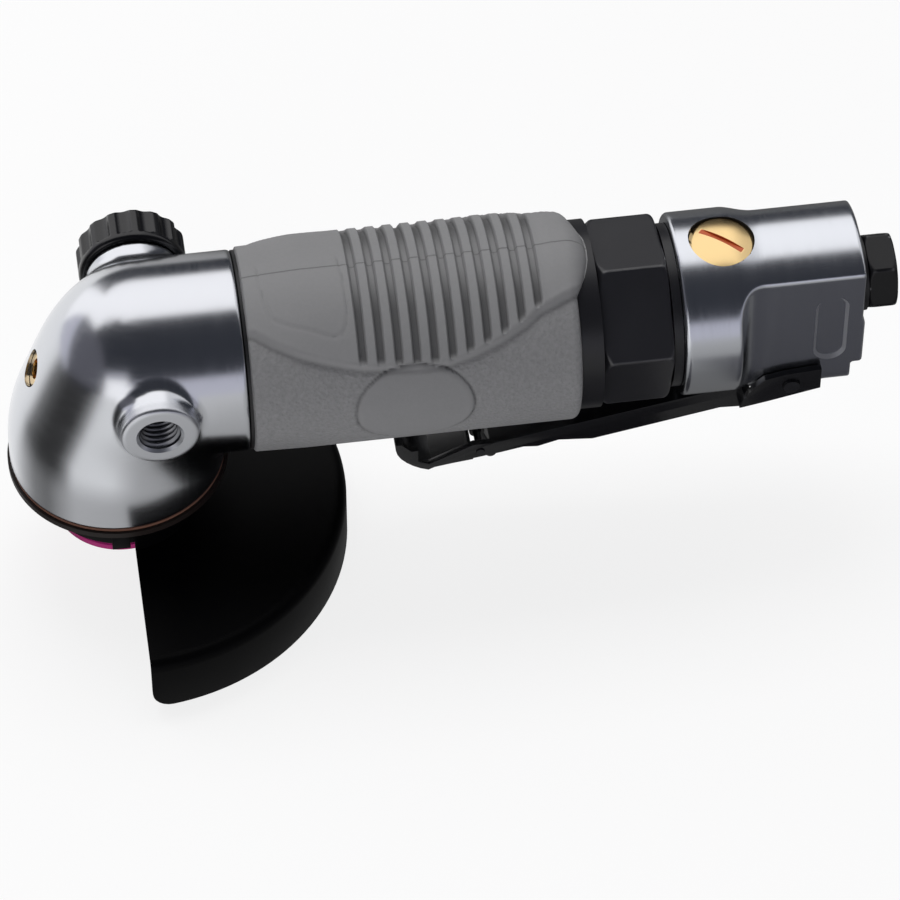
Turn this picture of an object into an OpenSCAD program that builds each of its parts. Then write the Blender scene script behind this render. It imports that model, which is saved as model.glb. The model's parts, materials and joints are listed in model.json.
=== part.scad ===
// Air angle grinder for 100 mm wheels, as an assembly of its separate pieces.
// Origin: spindle axis at the wheel side of the backing flange. +Z runs up the
// spindle away from the wheel, +X runs along the motor to the air inlet, and -Y
// is the side with the open side-handle port.

/* [Gear head] */
// Height of the motor axis above the wheel side of the backing flange
axis_h = 51; // [50:0.5:54]
// Radius of the round barrel of the gear head
barrel_r = 24.2; // [23.8:0.1:26]
// Distance from the spindle axis to the end of the barrel
head_len = 31; // [30.5:0.5:36]
// Radius of the head's lower flange
flange_r = 26.3; // [26:0.1:28]
// Height of the head's lower face
head_base = 20; // [19.5:0.5:21]
// Height of the straight band above the lower face
band_h = 5; // [4:0.5:6]
// Radius of the arc that the head's side follows upward
dome_arc_r = 50; // [47:1:60]
// Radius of the spigot bore at the bottom of the head
cap_bore_r = 20.6; // [20.4:0.1:21]
// Radius of the chamber for the bevel gear
gear_room_r = 19.9; // [19.7:0.1:20.2]
// Wall of the barrel around the bore for the motor housing
nose_wall = 3.6; // [3:0.1:4]
// Depth of that bore
nose_depth = 10.6; // [10.2:0.1:10.8]

/* [Side ports] */
// Distance of the open port from the spindle axis along the tool
port_x = 9.1; // [8.6:0.1:10]
// Distance of the closed port from the spindle axis along the tool
knob_x = 8; // [7.4:0.1:8.6]
// Height of both ports above the motor axis
port_rise = 3.5; // [2.5:0.1:4.5]
// Radius of the open port's boss
boss_r = 9.4; // [9:0.1:10.6]
// Height of the open boss's face above the barrel
boss_rise = 3.5; // [2.8:0.1:6]
// Radius of the closed port's boss
far_boss_r = 11.8; // [11:0.1:12.4]
// Height of the closed boss's face above the barrel
far_boss_rise = 0.1; // [0.1:0.1:1.8]
// Radius of the side-handle thread
port_thread_r = 5; // [4.5:0.1:5.4]
// Depth of the side-handle thread
port_depth = 12; // [10:0.5:12.5]
// Largest radius of the knob in the closed port
knob_r = 13.2; // [12.5:0.1:14.4]
// Thickness of the knob
knob_t = 9.7; // [8:0.1:12]
// Number of flutes around the knob
knob_flutes = 15; // [10:1:18]
// Depth of the closed port's thread
knob_depth = 8; // [7:0.1:8.2]

/* [Spindle and wheel seat] */
// Radius of the spindle thread
spindle_r = 5; // [4.8:0.1:5.2]
// Radius of the spindle in the lower bearing
journal_r = 6; // [5.8:0.1:6.2]
// Radius of the spindle in the upper bearing
top_journal_r = 4; // [3.6:0.1:4.4]
// Length of the thread below the flange
spindle_tail = 13; // [12:0.5:16]
// Radius of the backing flange
disc_flange_r = 16.5; // [15:0.1:16.6]
// Thickness of the backing flange
disc_flange_t = 2.8; // [2:0.1:3]
// Radius of the pilot that centres the wheel
pilot_r = 7.95; // [7.5:0.05:8]
// Height of the pilot
pilot_h = 4; // [3:0.1:5]
// Outer radius of the lower spindle bearing
low_bearing_r = 14; // [13.5:0.1:14.2]
// Width of the lower spindle bearing
low_bearing_w = 8; // [7:0.1:8.2]
// Outer radius of the upper spindle bearing
top_bearing_r = 6; // [5.8:0.1:6.4]
// Width of the upper spindle bearing
top_bearing_w = 7; // [6:0.1:7.5]

/* [Bearing cap] */
// Radius of the cap's flange
cap_r = 26.9; // [26.6:0.1:28]
// Thickness of the cap's flange
cap_t = 2.2; // [2:0.1:2.6]
// Radius of the neck that carries the guard
neck_r = 17.1; // [16.8:0.1:17.6]
// Height of the neck's lower end
neck_low = 3.1; // [2.9:0.1:3.4]
// Thickness of the fibre gasket
gasket_t = 0.7; // [0.4:0.1:1]
// Distance of the cap screws from the spindle axis
cap_screw_pcd_r = 23.1; // [22.9:0.1:23.3]
// Radius of the cap screws
cap_screw_r = 1.65; // [1.5:0.05:1.8]
// Number of cap screws
cap_screw_n = 4; // [4:1:4]

/* [Guard] */
// Outer radius of the guard
guard_r = 55.5; // [53:0.5:60]
// Sheet thickness of the guard
guard_t = 1.5; // [1.2:0.1:1.8]
// Depth of the guard's rim
guard_depth = 16; // [14:0.5:20]
// Height of the guard's top face
guard_top = 3; // [2.4:0.1:3.4]
// Distance of the guard's cut edge from the spindle axis
guard_cut_x = 1.7; // [1:0.1:3]
// Height of the clamp band's top
band_top = 11.6; // [11:0.1:11.9]
// Height of the clamp band's lower edge on the open side
band_low = 6; // [5.5:0.1:6.5]
// Wall of the clamp band
band_t = 1.9; // [1.6:0.1:2.1]
// Radius of the clamp screw
clamp_screw_r = 2; // [1.8:0.1:2.1]
// Width of the gap between the clamp ears
ear_gap = 2.4; // [2:0.1:3]
// Thickness of a clamp ear
ear_t = 3; // [2.5:0.1:3.5]

/* [Bevel gears] */
// Pitch radius of the bevel gear
gear_r = 17; // [16.8:0.1:17.2]
// Teeth on the bevel gear
gear_teeth = 20; // [20:1:20]
// Teeth on the pinion
pinion_teeth = 11; // [11:1:11]
// Width of the toothed face
face_w = 6.5; // [6:0.1:6.8]
// Height of a tooth above the pitch line
addendum = 1.2; // [1.1:0.1:1.3]
// Depth of a tooth space below the pitch line
dedendum = 1.7; // [1.6:0.1:1.8]
// Width of a tooth space at the pitch line
space_w = 3; // [2.9:0.05:3.1]

/* [Motor] */
// Step from the nose bore to the outside of the motor housing
motor_step = 0.8; // [0.5:0.1:1.2]
// Wall of the motor housing
motor_wall = 2.9; // [2.6:0.1:3.1]
// Wall of the liner at its middle height
liner_wall = 4; // [3.8:0.1:4.2]
// Step from the motor housing down to its threaded neck
neck_step = 3.8; // [3.6:0.1:4.2]
// Offset of the liner's bore from the motor axis
liner_shift = 1.6; // [1.5:0.05:1.7]
// Least gap between the rotor and the liner
rotor_gap = 0.4; // [0.35:0.05:0.6]
// Length of the rotor
rotor_len = 40; // [38:0.5:41]
// Distance of the rotor's front face behind the head
rotor_back = 18; // [17.5:0.1:18.5]
// Thickness of an end plate
plate_t = 5; // [4.5:0.1:5.5]
// Number of vanes
vane_n = 5; // [4:1:6]
// Thickness of a vane
vane_t = 2; // [1.6:0.1:2.4]
// Radius of the rotor's shaft
shaft_r = 4; // [3.8:0.1:4.2]
// Outer radius of the motor bearings
motor_bearing_r = 11; // [10.8:0.1:11.2]
// Width of the motor bearings
motor_bearing_w = 7; // [6.5:0.1:7.2]
// Outer radius of the pinion bearing
pinion_bearing_r = 13; // [12.8:0.1:13.2]
// Width of the pinion bearing
pinion_bearing_w = 8; // [7.5:0.1:8.1]

/* [Grip] */
// Radius of the plain part of the grip
grip_r = 25; // [24.6:0.1:26]
// Radius of the raised pad and its ribs
pad_r = 26.2; // [25.6:0.1:27.2]
// Radius of the bulge at the rear of the grip
bulge_r = 26.6; // [26:0.1:28]
// Distance from the spindle axis to the grip's rear end
grip_end = 114.6; // [114:0.1:115]
// Distance of the first groove behind the head
rib_back = 27.3; // [25:0.1:29]
// Distance between two ribs
rib_pitch = 4.27; // [4:0.01:4.3]
// Number of grooves
rib_n = 11; // [6:1:11]
// Depth of a groove
groove_d = 1.1; // [0.6:0.1:1.4]

/* [Coupling nut] */
// Width of the nut across its flats
nut_af = 39; // [38.4:0.1:40]
// Distance of the nut's front behind the grip
nut_gap = 1.6; // [1.4:0.1:2]
// Length of the nut
nut_len = 17; // [16:0.1:17.4]
// Turn of the nut's flats about the motor axis
nut_turn = 16.8; // [0:0.1:59]

/* [Valve housing] */
// Distance of the housing's front behind the nut
ring_len = 2.6; // [2.4:0.1:3.4]
// Length of the housing
housing_len = 44.8; // [42:0.1:50]
// Radius of the housing
housing_r = 22.2; // [21.8:0.1:23]
// Radius of the housing behind its waist
waist_r = 21.2; // [21:0.1:21.7]
// Half the width across the housing's side flats
flat_y = 12.5; // [12.2:0.1:12.8]
// Distance of the flats behind the housing's front
flat_back = 13.8; // [13.4:0.1:15.2]
// Radius at the front end of each flat
flat_fillet = 7; // [5.5:0.1:8]
// Distance of the valve behind the housing's front
valve_back = 11.4; // [11:0.1:11.8]
// Radius of the brass plug
plug_r = 7.9; // [7.6:0.05:8.2]
// Depth of the plug's face below the top of the housing
plug_sink = 1.3; // [1.1:0.1:1.6]
// Radius of the valve chamber
chamber_r = 6.4; // [6:0.1:6.7]
// Height of the inlet's axis above the motor axis
inlet_rise = 4.5; // [4:0.1:5]
// Radius of the inlet's pipe thread
inlet_thread_r = 6.5; // [6.2:0.05:6.7]
// Width of the inlet bushing across its flats
inlet_af = 17.4; // [17:0.1:19]
// Length of the inlet bushing outside the housing
inlet_len = 9; // [8:0.1:12]
// Turn of the bushing's flats about the inlet's axis
inlet_turn = 42.9; // [0:0.1:59]

/* [Lever] */
// Half the outer width of the lever's channel
lever_y = 10; // [9.4:0.1:10.6]
// Sheet thickness of the lever
lever_t = 1.6; // [1.2:0.1:1.8]
// Length of the lever from its pivot to its front end
lever_len = 96.5; // [94:0.1:99]
// Distance of the lever's pivot behind the housing's front
pivot_back = 27.8; // [27.4:0.1:28]
// Distance of the lever's pivot below the motor axis
pivot_drop = 18.1; // [17.9:0.1:18.3]
// Depth of the lever's front end below its pivot
lever_depth = 22.4; // [21:0.1:24]
// Radius of the lever's pivot pin
pivot_r = 2; // [1.8:0.05:2.1]
// Distance from the pivot to the catch's pin
catch_reach = 75.6; // [74.8:0.1:76.4]
// Length of the catch below its pin
catch_drop = 10.8; // [8:0.1:12]

/* [Springs] */
// Wire radius of the valve spring
spring_wire_r = 0.5; // [0.4:0.05:0.55]
// Coil radius of the valve spring
spring_coil_r = 4.6; // [4.4:0.1:4.7]
// Turns of the valve spring
spring_turns = 6; // [4:1:6]
// Wire radius of the catch spring
catch_wire_r = 0.35; // [0.3:0.05:0.4]

/* [Clearances] */
// Gap between a bearing bore and its shaft, or a pin and its hole
run_gap = 0.05; // [0.03:0.01:0.08]
// Gap around a piece that is pushed or screwed in
seat_gap = 0.04; // [0.02:0.01:0.08]
// Gap between pieces that only pass each other
free_gap = 0.3; // [0.25:0.05:0.5]

/* [Hidden] */
$fn = 96;

CASTING = [0.72, 0.73, 0.75];
STEEL = [0.62, 0.63, 0.65];
BLACKENED = [0.1, 0.1, 0.11];
RUBBER = [0.45, 0.45, 0.45];
BRASS = [0.8, 0.68, 0.4];
FIBRE = [0.42, 0.3, 0.22];
SEAL = [0.05, 0.05, 0.06];
MAGENTA = [0.72, 0.2, 0.5];
PHENOLIC = [0.35, 0.24, 0.14];
FELT = [0.75, 0.74, 0.68];

// Points of a circular arc in the plane, from angle a0 to a1 about c.
function arc(c, r, a0, a1, n = 12) =
    [for (i = [0 : n]) let (a = a0 + (a1 - a0) * i / n) c + r * [cos(a), sin(a)]];

// Points on a circle square to d, where d is a unit direction and s its side.
function ring(p, d, s, r, n) =
    [for (i = [0 : n - 1]) p + r * (cos(360 * i / n) * s + sin(360 * i / n) * cross(d, s))];

// A tube through a list of points, with closed ends. The side direction of
// every ring lies across the fixed axis up, so the tube never twists.
module tube(pts, r, up, n = 6) {
    last = len(pts) - 1;
    dirs = [for (i = [0 : last]) let (v = pts[min(i + 1, last)] - pts[max(i - 1, 0)]) v / norm(v)];
    rings = [for (i = [0 : last])
        let (s = cross(dirs[i], up)) ring(pts[i], dirs[i], s / norm(s), r, n)];
    points = [for (q = rings) for (p = q) p];
    sides = [for (i = [0 : last - 1]) for (j = [0 : n - 1])
        let (a = i * n + j, b = i * n + (j + 1) % n)
        each [[a, a + n, b], [b, a + n, b + n]]];
    caps = [for (j = [1 : n - 2]) each [[0, j, j + 1], [last * n, last * n + j + 1, last * n + j]]];
    polyhedron(points, concat(sides, caps));
}

// Least distance between points of a path that lie over a quarter turn apart.
function least_gap(pts, skip) =
    min([for (i = [0 : len(pts) - 1 - skip]) for (j = [i + skip : len(pts) - 1]) norm(pts[i] - pts[j])]);

// A cylinder along +X, +Y or +Z from a start point.
module rod_x(x0, x1, r) {
    translate([x0, 0, axis_h])
        rotate([0, 90, 0])
            cylinder(h = x1 - x0, r = r);
}

module ring_x(x0, x1, r_out, r_in) {
    difference() {
        rod_x(x0, x1, r_out);
        rod_x(x0 - 1, x1 + 1, r_in);
    }
}

module ring_z(z0, z1, r_out, r_in) {
    difference() {
        translate([0, 0, z0])
            cylinder(h = z1 - z0, r = r_out);
        translate([0, 0, z0 - 1])
            cylinder(h = z1 - z0 + 2, r = r_in);
    }
}

// A solid turned about the motor axis from points of distance and radius.
module turned_x(points) {
    translate([0, 0, axis_h])
        rotate([0, 90, 0])
            rotate_extrude()
                polygon([for (p = points) [p[1], p[0]]]);
}

// A deep-groove ball bearing that stands on z = 0.
module ball_bearing(r_in, r_out, w, balls) {
    mid = (r_in + r_out) / 2;
    ball_r = (r_out - r_in) * 0.29;
    rim = (r_out - r_in) * 0.2;
    difference() {
        ring_z(0, w, r_out, mid + rim);
        translate([0, 0, w / 2])
            rotate_extrude()
                translate([mid, 0])
                    circle(r = ball_r + run_gap, $fn = 32);
    }
    difference() {
        ring_z(0, w, mid - rim, r_in);
        translate([0, 0, w / 2])
            rotate_extrude()
                translate([mid, 0])
                    circle(r = ball_r + run_gap, $fn = 32);
    }
    for (i = [0 : balls - 1])
        rotate([0, 0, 360 * i / balls])
            translate([mid, 0, w / 2])
                sphere(r = ball_r, $fn = 24);
}

module bearing_x(x0, r_in, r_out, w, balls) {
    translate([x0, 0, axis_h])
        rotate([0, 90, 0])
            ball_bearing(r_in, r_out, w, balls);
}

// A socket-head screw whose head stands on z = 0 and shank points up.
module socket_screw(r, head_r, head_h, len, key_af) {
    difference() {
        union() {
            translate([0, 0, -head_h])
                cylinder(h = head_h, r = head_r, $fn = 48);
            cylinder(h = len, r = r, $fn = 32);
        }
        translate([0, 0, -head_h - 1])
            cylinder(h = 1 + head_h * 0.6, r = key_af / sqrt(3), $fn = 6);
    }
}

// Places of the main pieces along the tool
nose_bore_r = barrel_r - nose_wall;
nose_seat_x = head_len - nose_depth;
boss_reach = barrel_r + boss_rise;
far_boss_reach = barrel_r + far_boss_rise;
motor_r = nose_bore_r + motor_step;
motor_bore_r = motor_r - motor_wall;
liner_bore_r = motor_bore_r - liner_wall;
thread_neck_r = motor_r - neck_step;
rotor_r = liner_bore_r - liner_shift - rotor_gap;
rotor_x = head_len + rotor_back;
rib_x = head_len + rib_back;
nut_x = grip_end + nut_gap;
nut_end = nut_x + nut_len;
housing_x = nut_end + ring_len;
housing_end = housing_x + housing_len;
flat_x = housing_x + flat_back;
valve_x = housing_x + valve_back;
pivot_x = housing_x + pivot_back;
pivot_z = axis_h - pivot_drop;

// Gear head
gear_step = axis_h - gear_r * pinion_teeth / gear_teeth;
pinion_r = gear_r * pinion_teeth / gear_teeth;
pitch_angle = atan(pinion_r / gear_r);
cone_len = norm([gear_r, pinion_r]);
top_bearing_z = axis_h + barrel_r - 13.2;
port_z = axis_h + port_rise;
band_end = head_base + band_h;
dome_top = band_end + sqrt(pow(dome_arc_r, 2) - pow(dome_arc_r - flange_r + 4, 2));
nipple_z = axis_h + 1;
function dome_r(z) = flange_r - dome_arc_r + sqrt(pow(dome_arc_r, 2) - pow(z - band_end, 2));
nipple_tilt = 21;
nipple_hole_r = 4.6;
nipple_sink = 1.6;
barrel_start = 7.8;
chamber_start = 7.5;
boss_round = 1.2;
barrel_round = 2;

module dome() {
    steps = 16;
    rotate_extrude($fn = 80)
        polygon(concat(
            [[0, head_base], [flange_r - 0.4, head_base], [flange_r, head_base + 0.4]],
            [for (i = [0 : steps]) let (z = band_end + (dome_top - band_end) * i / steps) [dome_r(z), z]],
            [[0, dome_top]]));
}

module barrel() {
    turned_x(concat(
        arc([barrel_start, 0], barrel_r, 180, 90, 14),
        arc([head_len - barrel_round, barrel_r - barrel_round], barrel_round, 90, 0, 6),
        [[head_len, 0]]));
}

// A boss that grows toward -Y from the tool's middle, with a rounded rim.
module boss(r, reach, round_r) {
    rotate([90, 0, 0])
        rotate_extrude()
            polygon(concat(
                [[0, 0], [r, 0]],
                arc([r - round_r, reach - round_r], round_r, 0, 90, 6),
                [[0, reach]]));
}

module nipple_frame() {
    translate([-dome_r(nipple_z), 0, nipple_z])
        rotate([0, -90 + nipple_tilt, 0])
            children();
}

module gear_housing() {
    color(CASTING)
        difference() {
            union() {
                dome();
                barrel();
                translate([port_x, 0, port_z])
                    boss(boss_r, boss_reach, boss_round);
                translate([knob_x, 0, port_z])
                    mirror([0, 1, 0])
                        boss(far_boss_r, far_boss_reach, 0.3);
            }
            translate([0, 0, head_base - 1])
                cylinder(h = 1 + cap_spigot_h + free_gap, r = cap_bore_r);
            translate([0, 0, head_base])
                cylinder(h = axis_h - 4 - head_base, r = gear_room_r);
            translate([0, 0, axis_h - 5])
                cylinder(h = 16, r = 10);
            rod_x(nose_seat_x, head_len + 1, nose_bore_r);
            rod_x(chamber_start, head_len, carrier_lip_r);
            translate([0, 0, axis_h])
                cylinder(h = top_bearing_z - axis_h + top_bearing_w + seat_gap, r = top_bearing_r + seat_gap);
            translate([port_x, -boss_reach - 1, port_z])
                rotate([-90, 0, 0])
                    cylinder(h = port_depth + 1, r = port_thread_r);
            translate([port_x, -boss_reach - 0.01, port_z])
                rotate([-90, 0, 0])
                    cylinder(h = 0.4, r1 = port_thread_r + 0.4, r2 = port_thread_r);
            translate([knob_x, far_boss_reach - knob_depth, port_z])
                rotate([-90, 0, 0])
                    cylinder(h = knob_depth + 1, r = port_thread_r);
            nipple_frame() {
                translate([0, 0, -nipple_sink])
                    cylinder(h = nipple_sink + 6, r = nipple_hole_r);
                translate([0, 0, -9])
                    cylinder(h = 9, r = 3 + seat_gap);
            }
            cap_screw_places()
                cylinder(h = 13, r = cap_screw_r + seat_gap, $fn = 32);
        }
}

module grease_fitting() {
    cup_r = 2.5;
    color(BRASS)
        nipple_frame() {
            difference() {
                union() {
                    translate([0, 0, -7])
                        cylinder(h = 7 - nipple_sink, r = 3);
                    translate([0, 0, -nipple_sink])
                        cylinder(h = 1.3, r = nipple_hole_r - 0.3);
                }
                translate([0, 0, -nipple_sink - 0.8])
                    cylinder(h = 5, r = cup_r);
                translate([0, 0, -8])
                    cylinder(h = 13, r = 0.6, $fn = 24);
            }
            difference() {
                translate([0, 0, -nipple_sink - 1])
                    cylinder(h = 1.6, r = 1.4);
                translate([0, 0, -8])
                    cylinder(h = 13, r = 0.6, $fn = 24);
            }
        }
}

module port_knob() {
    base_h = 1.8;
    color(BLACKENED)
        translate([knob_x, far_boss_reach + free_gap, port_z])
            rotate([-90, 0, 0])
                difference() {
                    rotate_extrude()
                        polygon(concat(
                            [[0, 0], [knob_r - 0.6, 0], [knob_r, 0.6]],
                            arc([knob_r - 2, knob_t - 2], 2, 0, 90, 6),
                            [[0, knob_t]]));
                    translate([0, 0, -1])
                        cylinder(h = knob_t - 1.2, r = port_thread_r + seat_gap);
                    for (i = [0 : knob_flutes - 1])
                        rotate([0, 0, 360 * i / knob_flutes])
                            translate([knob_r + 1.3, 0, base_h])
                                cylinder(h = knob_t, r = 2.3, $fn = 32);
                }
}

module knob_stud() {
    inner = far_boss_reach - knob_depth + 0.5;
    color(STEEL)
        translate([knob_x, inner, port_z])
            rotate([-90, 0, 0])
                cylinder(h = far_boss_reach + knob_t - 2.7 - inner, r = port_thread_r - run_gap);
}

// Bearing cap, gasket and screws
gasket_low = head_base - gasket_t;
cap_low = gasket_low - cap_t;
cap_spigot_h = 4;
low_bearing_z = cap_low - 5.8;
cap_lip_r = low_bearing_r - 2;
cap_head_r = cap_screw_r + 1.45;
cap_head_h = 1.6;

module cap_screw_places() {
    for (i = [0 : cap_screw_n - 1])
        rotate([0, 0, 45 + 360 * i / cap_screw_n])
            translate([cap_screw_pcd_r, 0, cap_low])
                children();
}

// The heads of the cap screws are flush with the cap's flange.
module flat_screw(gap) {
    cylinder(h = cap_head_h, r1 = cap_head_r + gap, r2 = cap_screw_r + gap);
    cylinder(h = 11, r = cap_screw_r + gap, $fn = 32);
}

module bearing_cap() {
    color(BLACKENED)
        difference() {
            union() {
                rotate_extrude($fn = 128)
                    polygon([
                        [0, neck_low], [neck_r - 0.4, neck_low], [neck_r, neck_low + 0.4], [neck_r, cap_low],
                        [cap_r - 0.6, cap_low], [cap_r, cap_low + 0.6], [cap_r, gasket_low],
                        [0, gasket_low]]);
                translate([0, 0, gasket_low])
                    cylinder(h = gasket_t + cap_spigot_h, r = cap_bore_r - seat_gap);
            }
            translate([0, 0, low_bearing_z])
                cylinder(h = 40, r = low_bearing_r + seat_gap);
            translate([0, 0, neck_low - 1])
                cylinder(h = 20, r = cap_lip_r);
            cap_screw_places()
                flat_screw(seat_gap);
            cap_screw_places()
                translate([0, 0, -1])
                    cylinder(h = 1.01, r = cap_head_r + seat_gap);
        }
}

module cap_gasket() {
    color(FIBRE)
        difference() {
            ring_z(gasket_low, head_base, flange_r - 0.2, cap_bore_r);
            cap_screw_places()
                cylinder(h = cap_t + 5, r = cap_screw_r + 0.25, $fn = 32);
        }
}

module cap_screws() {
    color(STEEL)
        cap_screw_places()
            difference() {
                flat_screw(0);
                translate([0, 0, -1])
                    cylinder(h = 2, r = 1.2, $fn = 6);
            }
}

// Spindle
collar_z = low_bearing_z - 3;
gear_bottom = low_bearing_z + low_bearing_w + 3.4;
gear_seat = gear_step - 6.5;
spindle_top = top_bearing_z + top_bearing_w - 0.6;
key_w = 3;
gear_nut_h = 3;

module spindle() {
    color(STEEL)
        difference() {
            rotate_extrude()
                polygon([
                    [0, -spindle_tail], [spindle_r - 0.8, -spindle_tail], [spindle_r, -spindle_tail + 0.8],
                    [spindle_r, -pilot_h - 0.2], [spindle_r - 0.6, -pilot_h - 0.2], [spindle_r - 0.6, -pilot_h + 0.6],
                    [spindle_r, -pilot_h + 0.6], [spindle_r, 0], [journal_r, 0], [journal_r, collar_z], [journal_r + 2, collar_z],
                    [journal_r + 2, low_bearing_z], [journal_r, low_bearing_z], [journal_r, gear_seat],
                    [spindle_r, gear_seat], [spindle_r, gear_seat + gear_nut_h + 1], [top_journal_r, gear_seat + gear_nut_h + 1],
                    [top_journal_r, spindle_top - 0.5], [top_journal_r - 0.5, spindle_top], [0, spindle_top]]);
            translate([journal_r - 1.5, -key_w / 2 - seat_gap, gear_bottom + 2])
                cube([5, key_w + 2 * seat_gap, gear_seat - gear_bottom - 3]);
        }
}

module gear_key() {
    color(STEEL)
        translate([journal_r - 1.5 + seat_gap, -key_w / 2, gear_bottom + 2 + seat_gap])
            cube([2.6, key_w, gear_seat - gear_bottom - 3 - 2 * seat_gap]);
}

module gear_nut() {
    color(BLACKENED)
        translate([0, 0, gear_seat])
            difference() {
                cylinder(h = gear_nut_h, r = journal_r + 2, $fn = 6);
                translate([0, 0, -1])
                    cylinder(h = gear_nut_h + 2, r = spindle_r + seat_gap);
            }
}

// Cutters for straight tooth spaces along the pitch line of a bevel gear whose
// apex is the origin and whose axis is Z. The wheel's half angle is cone_a.
module tooth_spaces(teeth, cone_a, offset_a) {
    reach = 3;
    half = space_w / 2;
    lean = tan(24);
    for (i = [0 : teeth - 1])
        rotate([0, 0, 360 * i / teeth + offset_a])
            rotate([0, 90 + cone_a - 90, 0])
                translate([0, 0, -cone_len - 4])
                    linear_extrude(height = face_w + 9)
                        polygon([
                            [dedendum, -half + dedendum * lean], [dedendum, half - dedendum * lean],
                            [-reach, half + reach * lean], [-reach, -half - reach * lean]]);
}

// The blank of a bevel gear below its apex: a cone frustum as deep as the
// tooth height, with its hub to z = -hub_z.
module bevel_blank(cone_a, hub_r, hub_z) {
    along = [sin(cone_a), -cos(cone_a)];
    out = [cos(cone_a), sin(cone_a)];
    back = dedendum + 1.6;
    rotate_extrude()
        polygon([
            [0, (along * (cone_len - face_w))[1] - out[1] * back],
            along * (cone_len - face_w) + out * -back,
            along * (cone_len - face_w) + out * addendum,
            along * cone_len + out * addendum,
            along * cone_len + out * -back,
            [hub_r, (along * cone_len + out * -back)[1]],
            [hub_r, -hub_z],
            [0, -hub_z]]);
}

module bevel_gear() {
    color(STEEL)
        difference() {
            translate([0, 0, axis_h])
                difference() {
                    bevel_blank(90 - pitch_angle, 11.5, axis_h - gear_bottom);
                    tooth_spaces(gear_teeth, 90 - pitch_angle, 180);
                }
            translate([0, 0, gear_bottom - 1])
                cylinder(h = 60, r = journal_r + seat_gap);
            translate([0, -key_w / 2 - seat_gap, gear_bottom - 1])
                cube([journal_r + 1.3, key_w + 2 * seat_gap, 60]);
            translate([0, 0, gear_seat])
                cylinder(h = 30, r = journal_r + 2.6);
        }
}

module lower_bearing() {
    color(STEEL)
        translate([0, 0, low_bearing_z])
            ball_bearing(journal_r + run_gap, low_bearing_r, low_bearing_w, 9);
}

module upper_bearing() {
    needles = 10;
    race = 1;
    color(STEEL)
        translate([0, 0, top_bearing_z]) {
            ring_z(0, top_bearing_w, top_bearing_r, top_bearing_r - race);
            for (i = [0 : needles - 1])
                rotate([0, 0, 360 * i / needles])
                    translate([(top_journal_r + top_bearing_r - race) / 2, 0, 0.5])
                        cylinder(h = top_bearing_w - 1, r = (top_bearing_r - race - top_journal_r) / 2 - run_gap, $fn = 24);
        }
}

module backing_flange() {
    hub_r = cap_lip_r - 0.8;
    color(MAGENTA)
        difference() {
            rotate_extrude()
                polygon([
                    [0, -pilot_h], [pilot_r - 0.4, -pilot_h], [pilot_r, -pilot_h + 0.4], [pilot_r, 0],
                    [disc_flange_r - 0.4, 0], [disc_flange_r, 0.4], [disc_flange_r, disc_flange_t - 0.8],
                    [disc_flange_r - 0.8, disc_flange_t], [hub_r, disc_flange_t], [hub_r, collar_z],
                    [0, collar_z]]);
            translate([0, 0, -pilot_h - 1])
                cylinder(h = pilot_h + 1, r = spindle_r + seat_gap);
            cylinder(h = 20, r = journal_r + seat_gap);
        }
}

// Guard
neck_gap_r = neck_r + run_gap;
band_r = neck_gap_r + band_t;
guard_inner_r = guard_r - guard_t;
guard_low = guard_top - guard_depth;
rim_round = 3;
ear_reach = band_r + 10.2;
clamp_y = band_r + 5.6;
clamp_z = (band_top + band_low) / 2 + 0.2;

module guard_shell() {
    difference() {
        rotate_extrude($fn = 160)
            polygon(concat(
                [[neck_gap_r, guard_top]],
                arc([guard_r - rim_round, guard_top - rim_round], rim_round, 90, 0, 8),
                [[guard_r, guard_low], [guard_inner_r, guard_low]],
                arc([guard_r - rim_round, guard_top - rim_round], rim_round - guard_t, 0, 90, 8),
                [[neck_gap_r, guard_top - guard_t]]));
        translate([guard_cut_x - 100, -100, -100])
            cube([100, 200, 200]);
        for (s = [-1, 1])
            translate([guard_cut_x, s * 100, guard_low])
                rotate([90, 0, 0])
                    corner_cut(5, 200);
    }
}

// Rounds the edge at x = 0, z = 0 of a plate that lies toward +X and +Z.
module corner_cut(r, l) {
    translate([0, 0, -l / 2])
        linear_extrude(height = l)
            polygon(concat([[-1, -1]], [[r, -1]], arc([r, r], r, 270, 180, 6), [[-1, r]]));
}

module guard() {
    color(BLACKENED)
        difference() {
            union() {
                guard_shell();
                ring_z(band_low, band_top, band_r, neck_gap_r);
                intersection() {
                    ring_z(guard_top - guard_t, band_top, band_r, neck_gap_r);
                    translate([guard_cut_x, -50, -50])
                        cube([100, 100, 100]);
                }
                translate([-ear_gap / 2 - ear_t, neck_gap_r + 0.6, band_low])
                    cube([2 * ear_t + ear_gap, ear_reach - neck_gap_r - 0.6, band_top - band_low]);
                translate([-3.9, -band_r - 1.7, band_low])
                    cube([4.4, 2.8, band_top - band_low]);
            }
            translate([-ear_gap / 2, 5, band_low - 1])
                cube([ear_gap, 50, band_top - band_low + 2]);
            translate([-20, clamp_y, clamp_z])
                rotate([0, 90, 0])
                    cylinder(h = 40, r = clamp_screw_r + 0.2, $fn = 32);
        }
}

module guard_screw() {
    color(STEEL)
        translate([-ear_gap / 2 - ear_t, clamp_y, clamp_z])
            rotate([0, 90, 0])
                socket_screw(clamp_screw_r, 3.4, 3.2, 2 * ear_t + ear_gap + 4.4, 3);
}

module guard_nut() {
    color(STEEL)
        translate([ear_gap / 2 + ear_t, clamp_y, clamp_z])
            rotate([0, 90, 0])
                difference() {
                    cylinder(h = 3.2, r = 3.9, $fn = 6);
                    translate([0, 0, -1])
                        cylinder(h = 6, r = clamp_screw_r + seat_gap, $fn = 32);
                }
}

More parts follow.
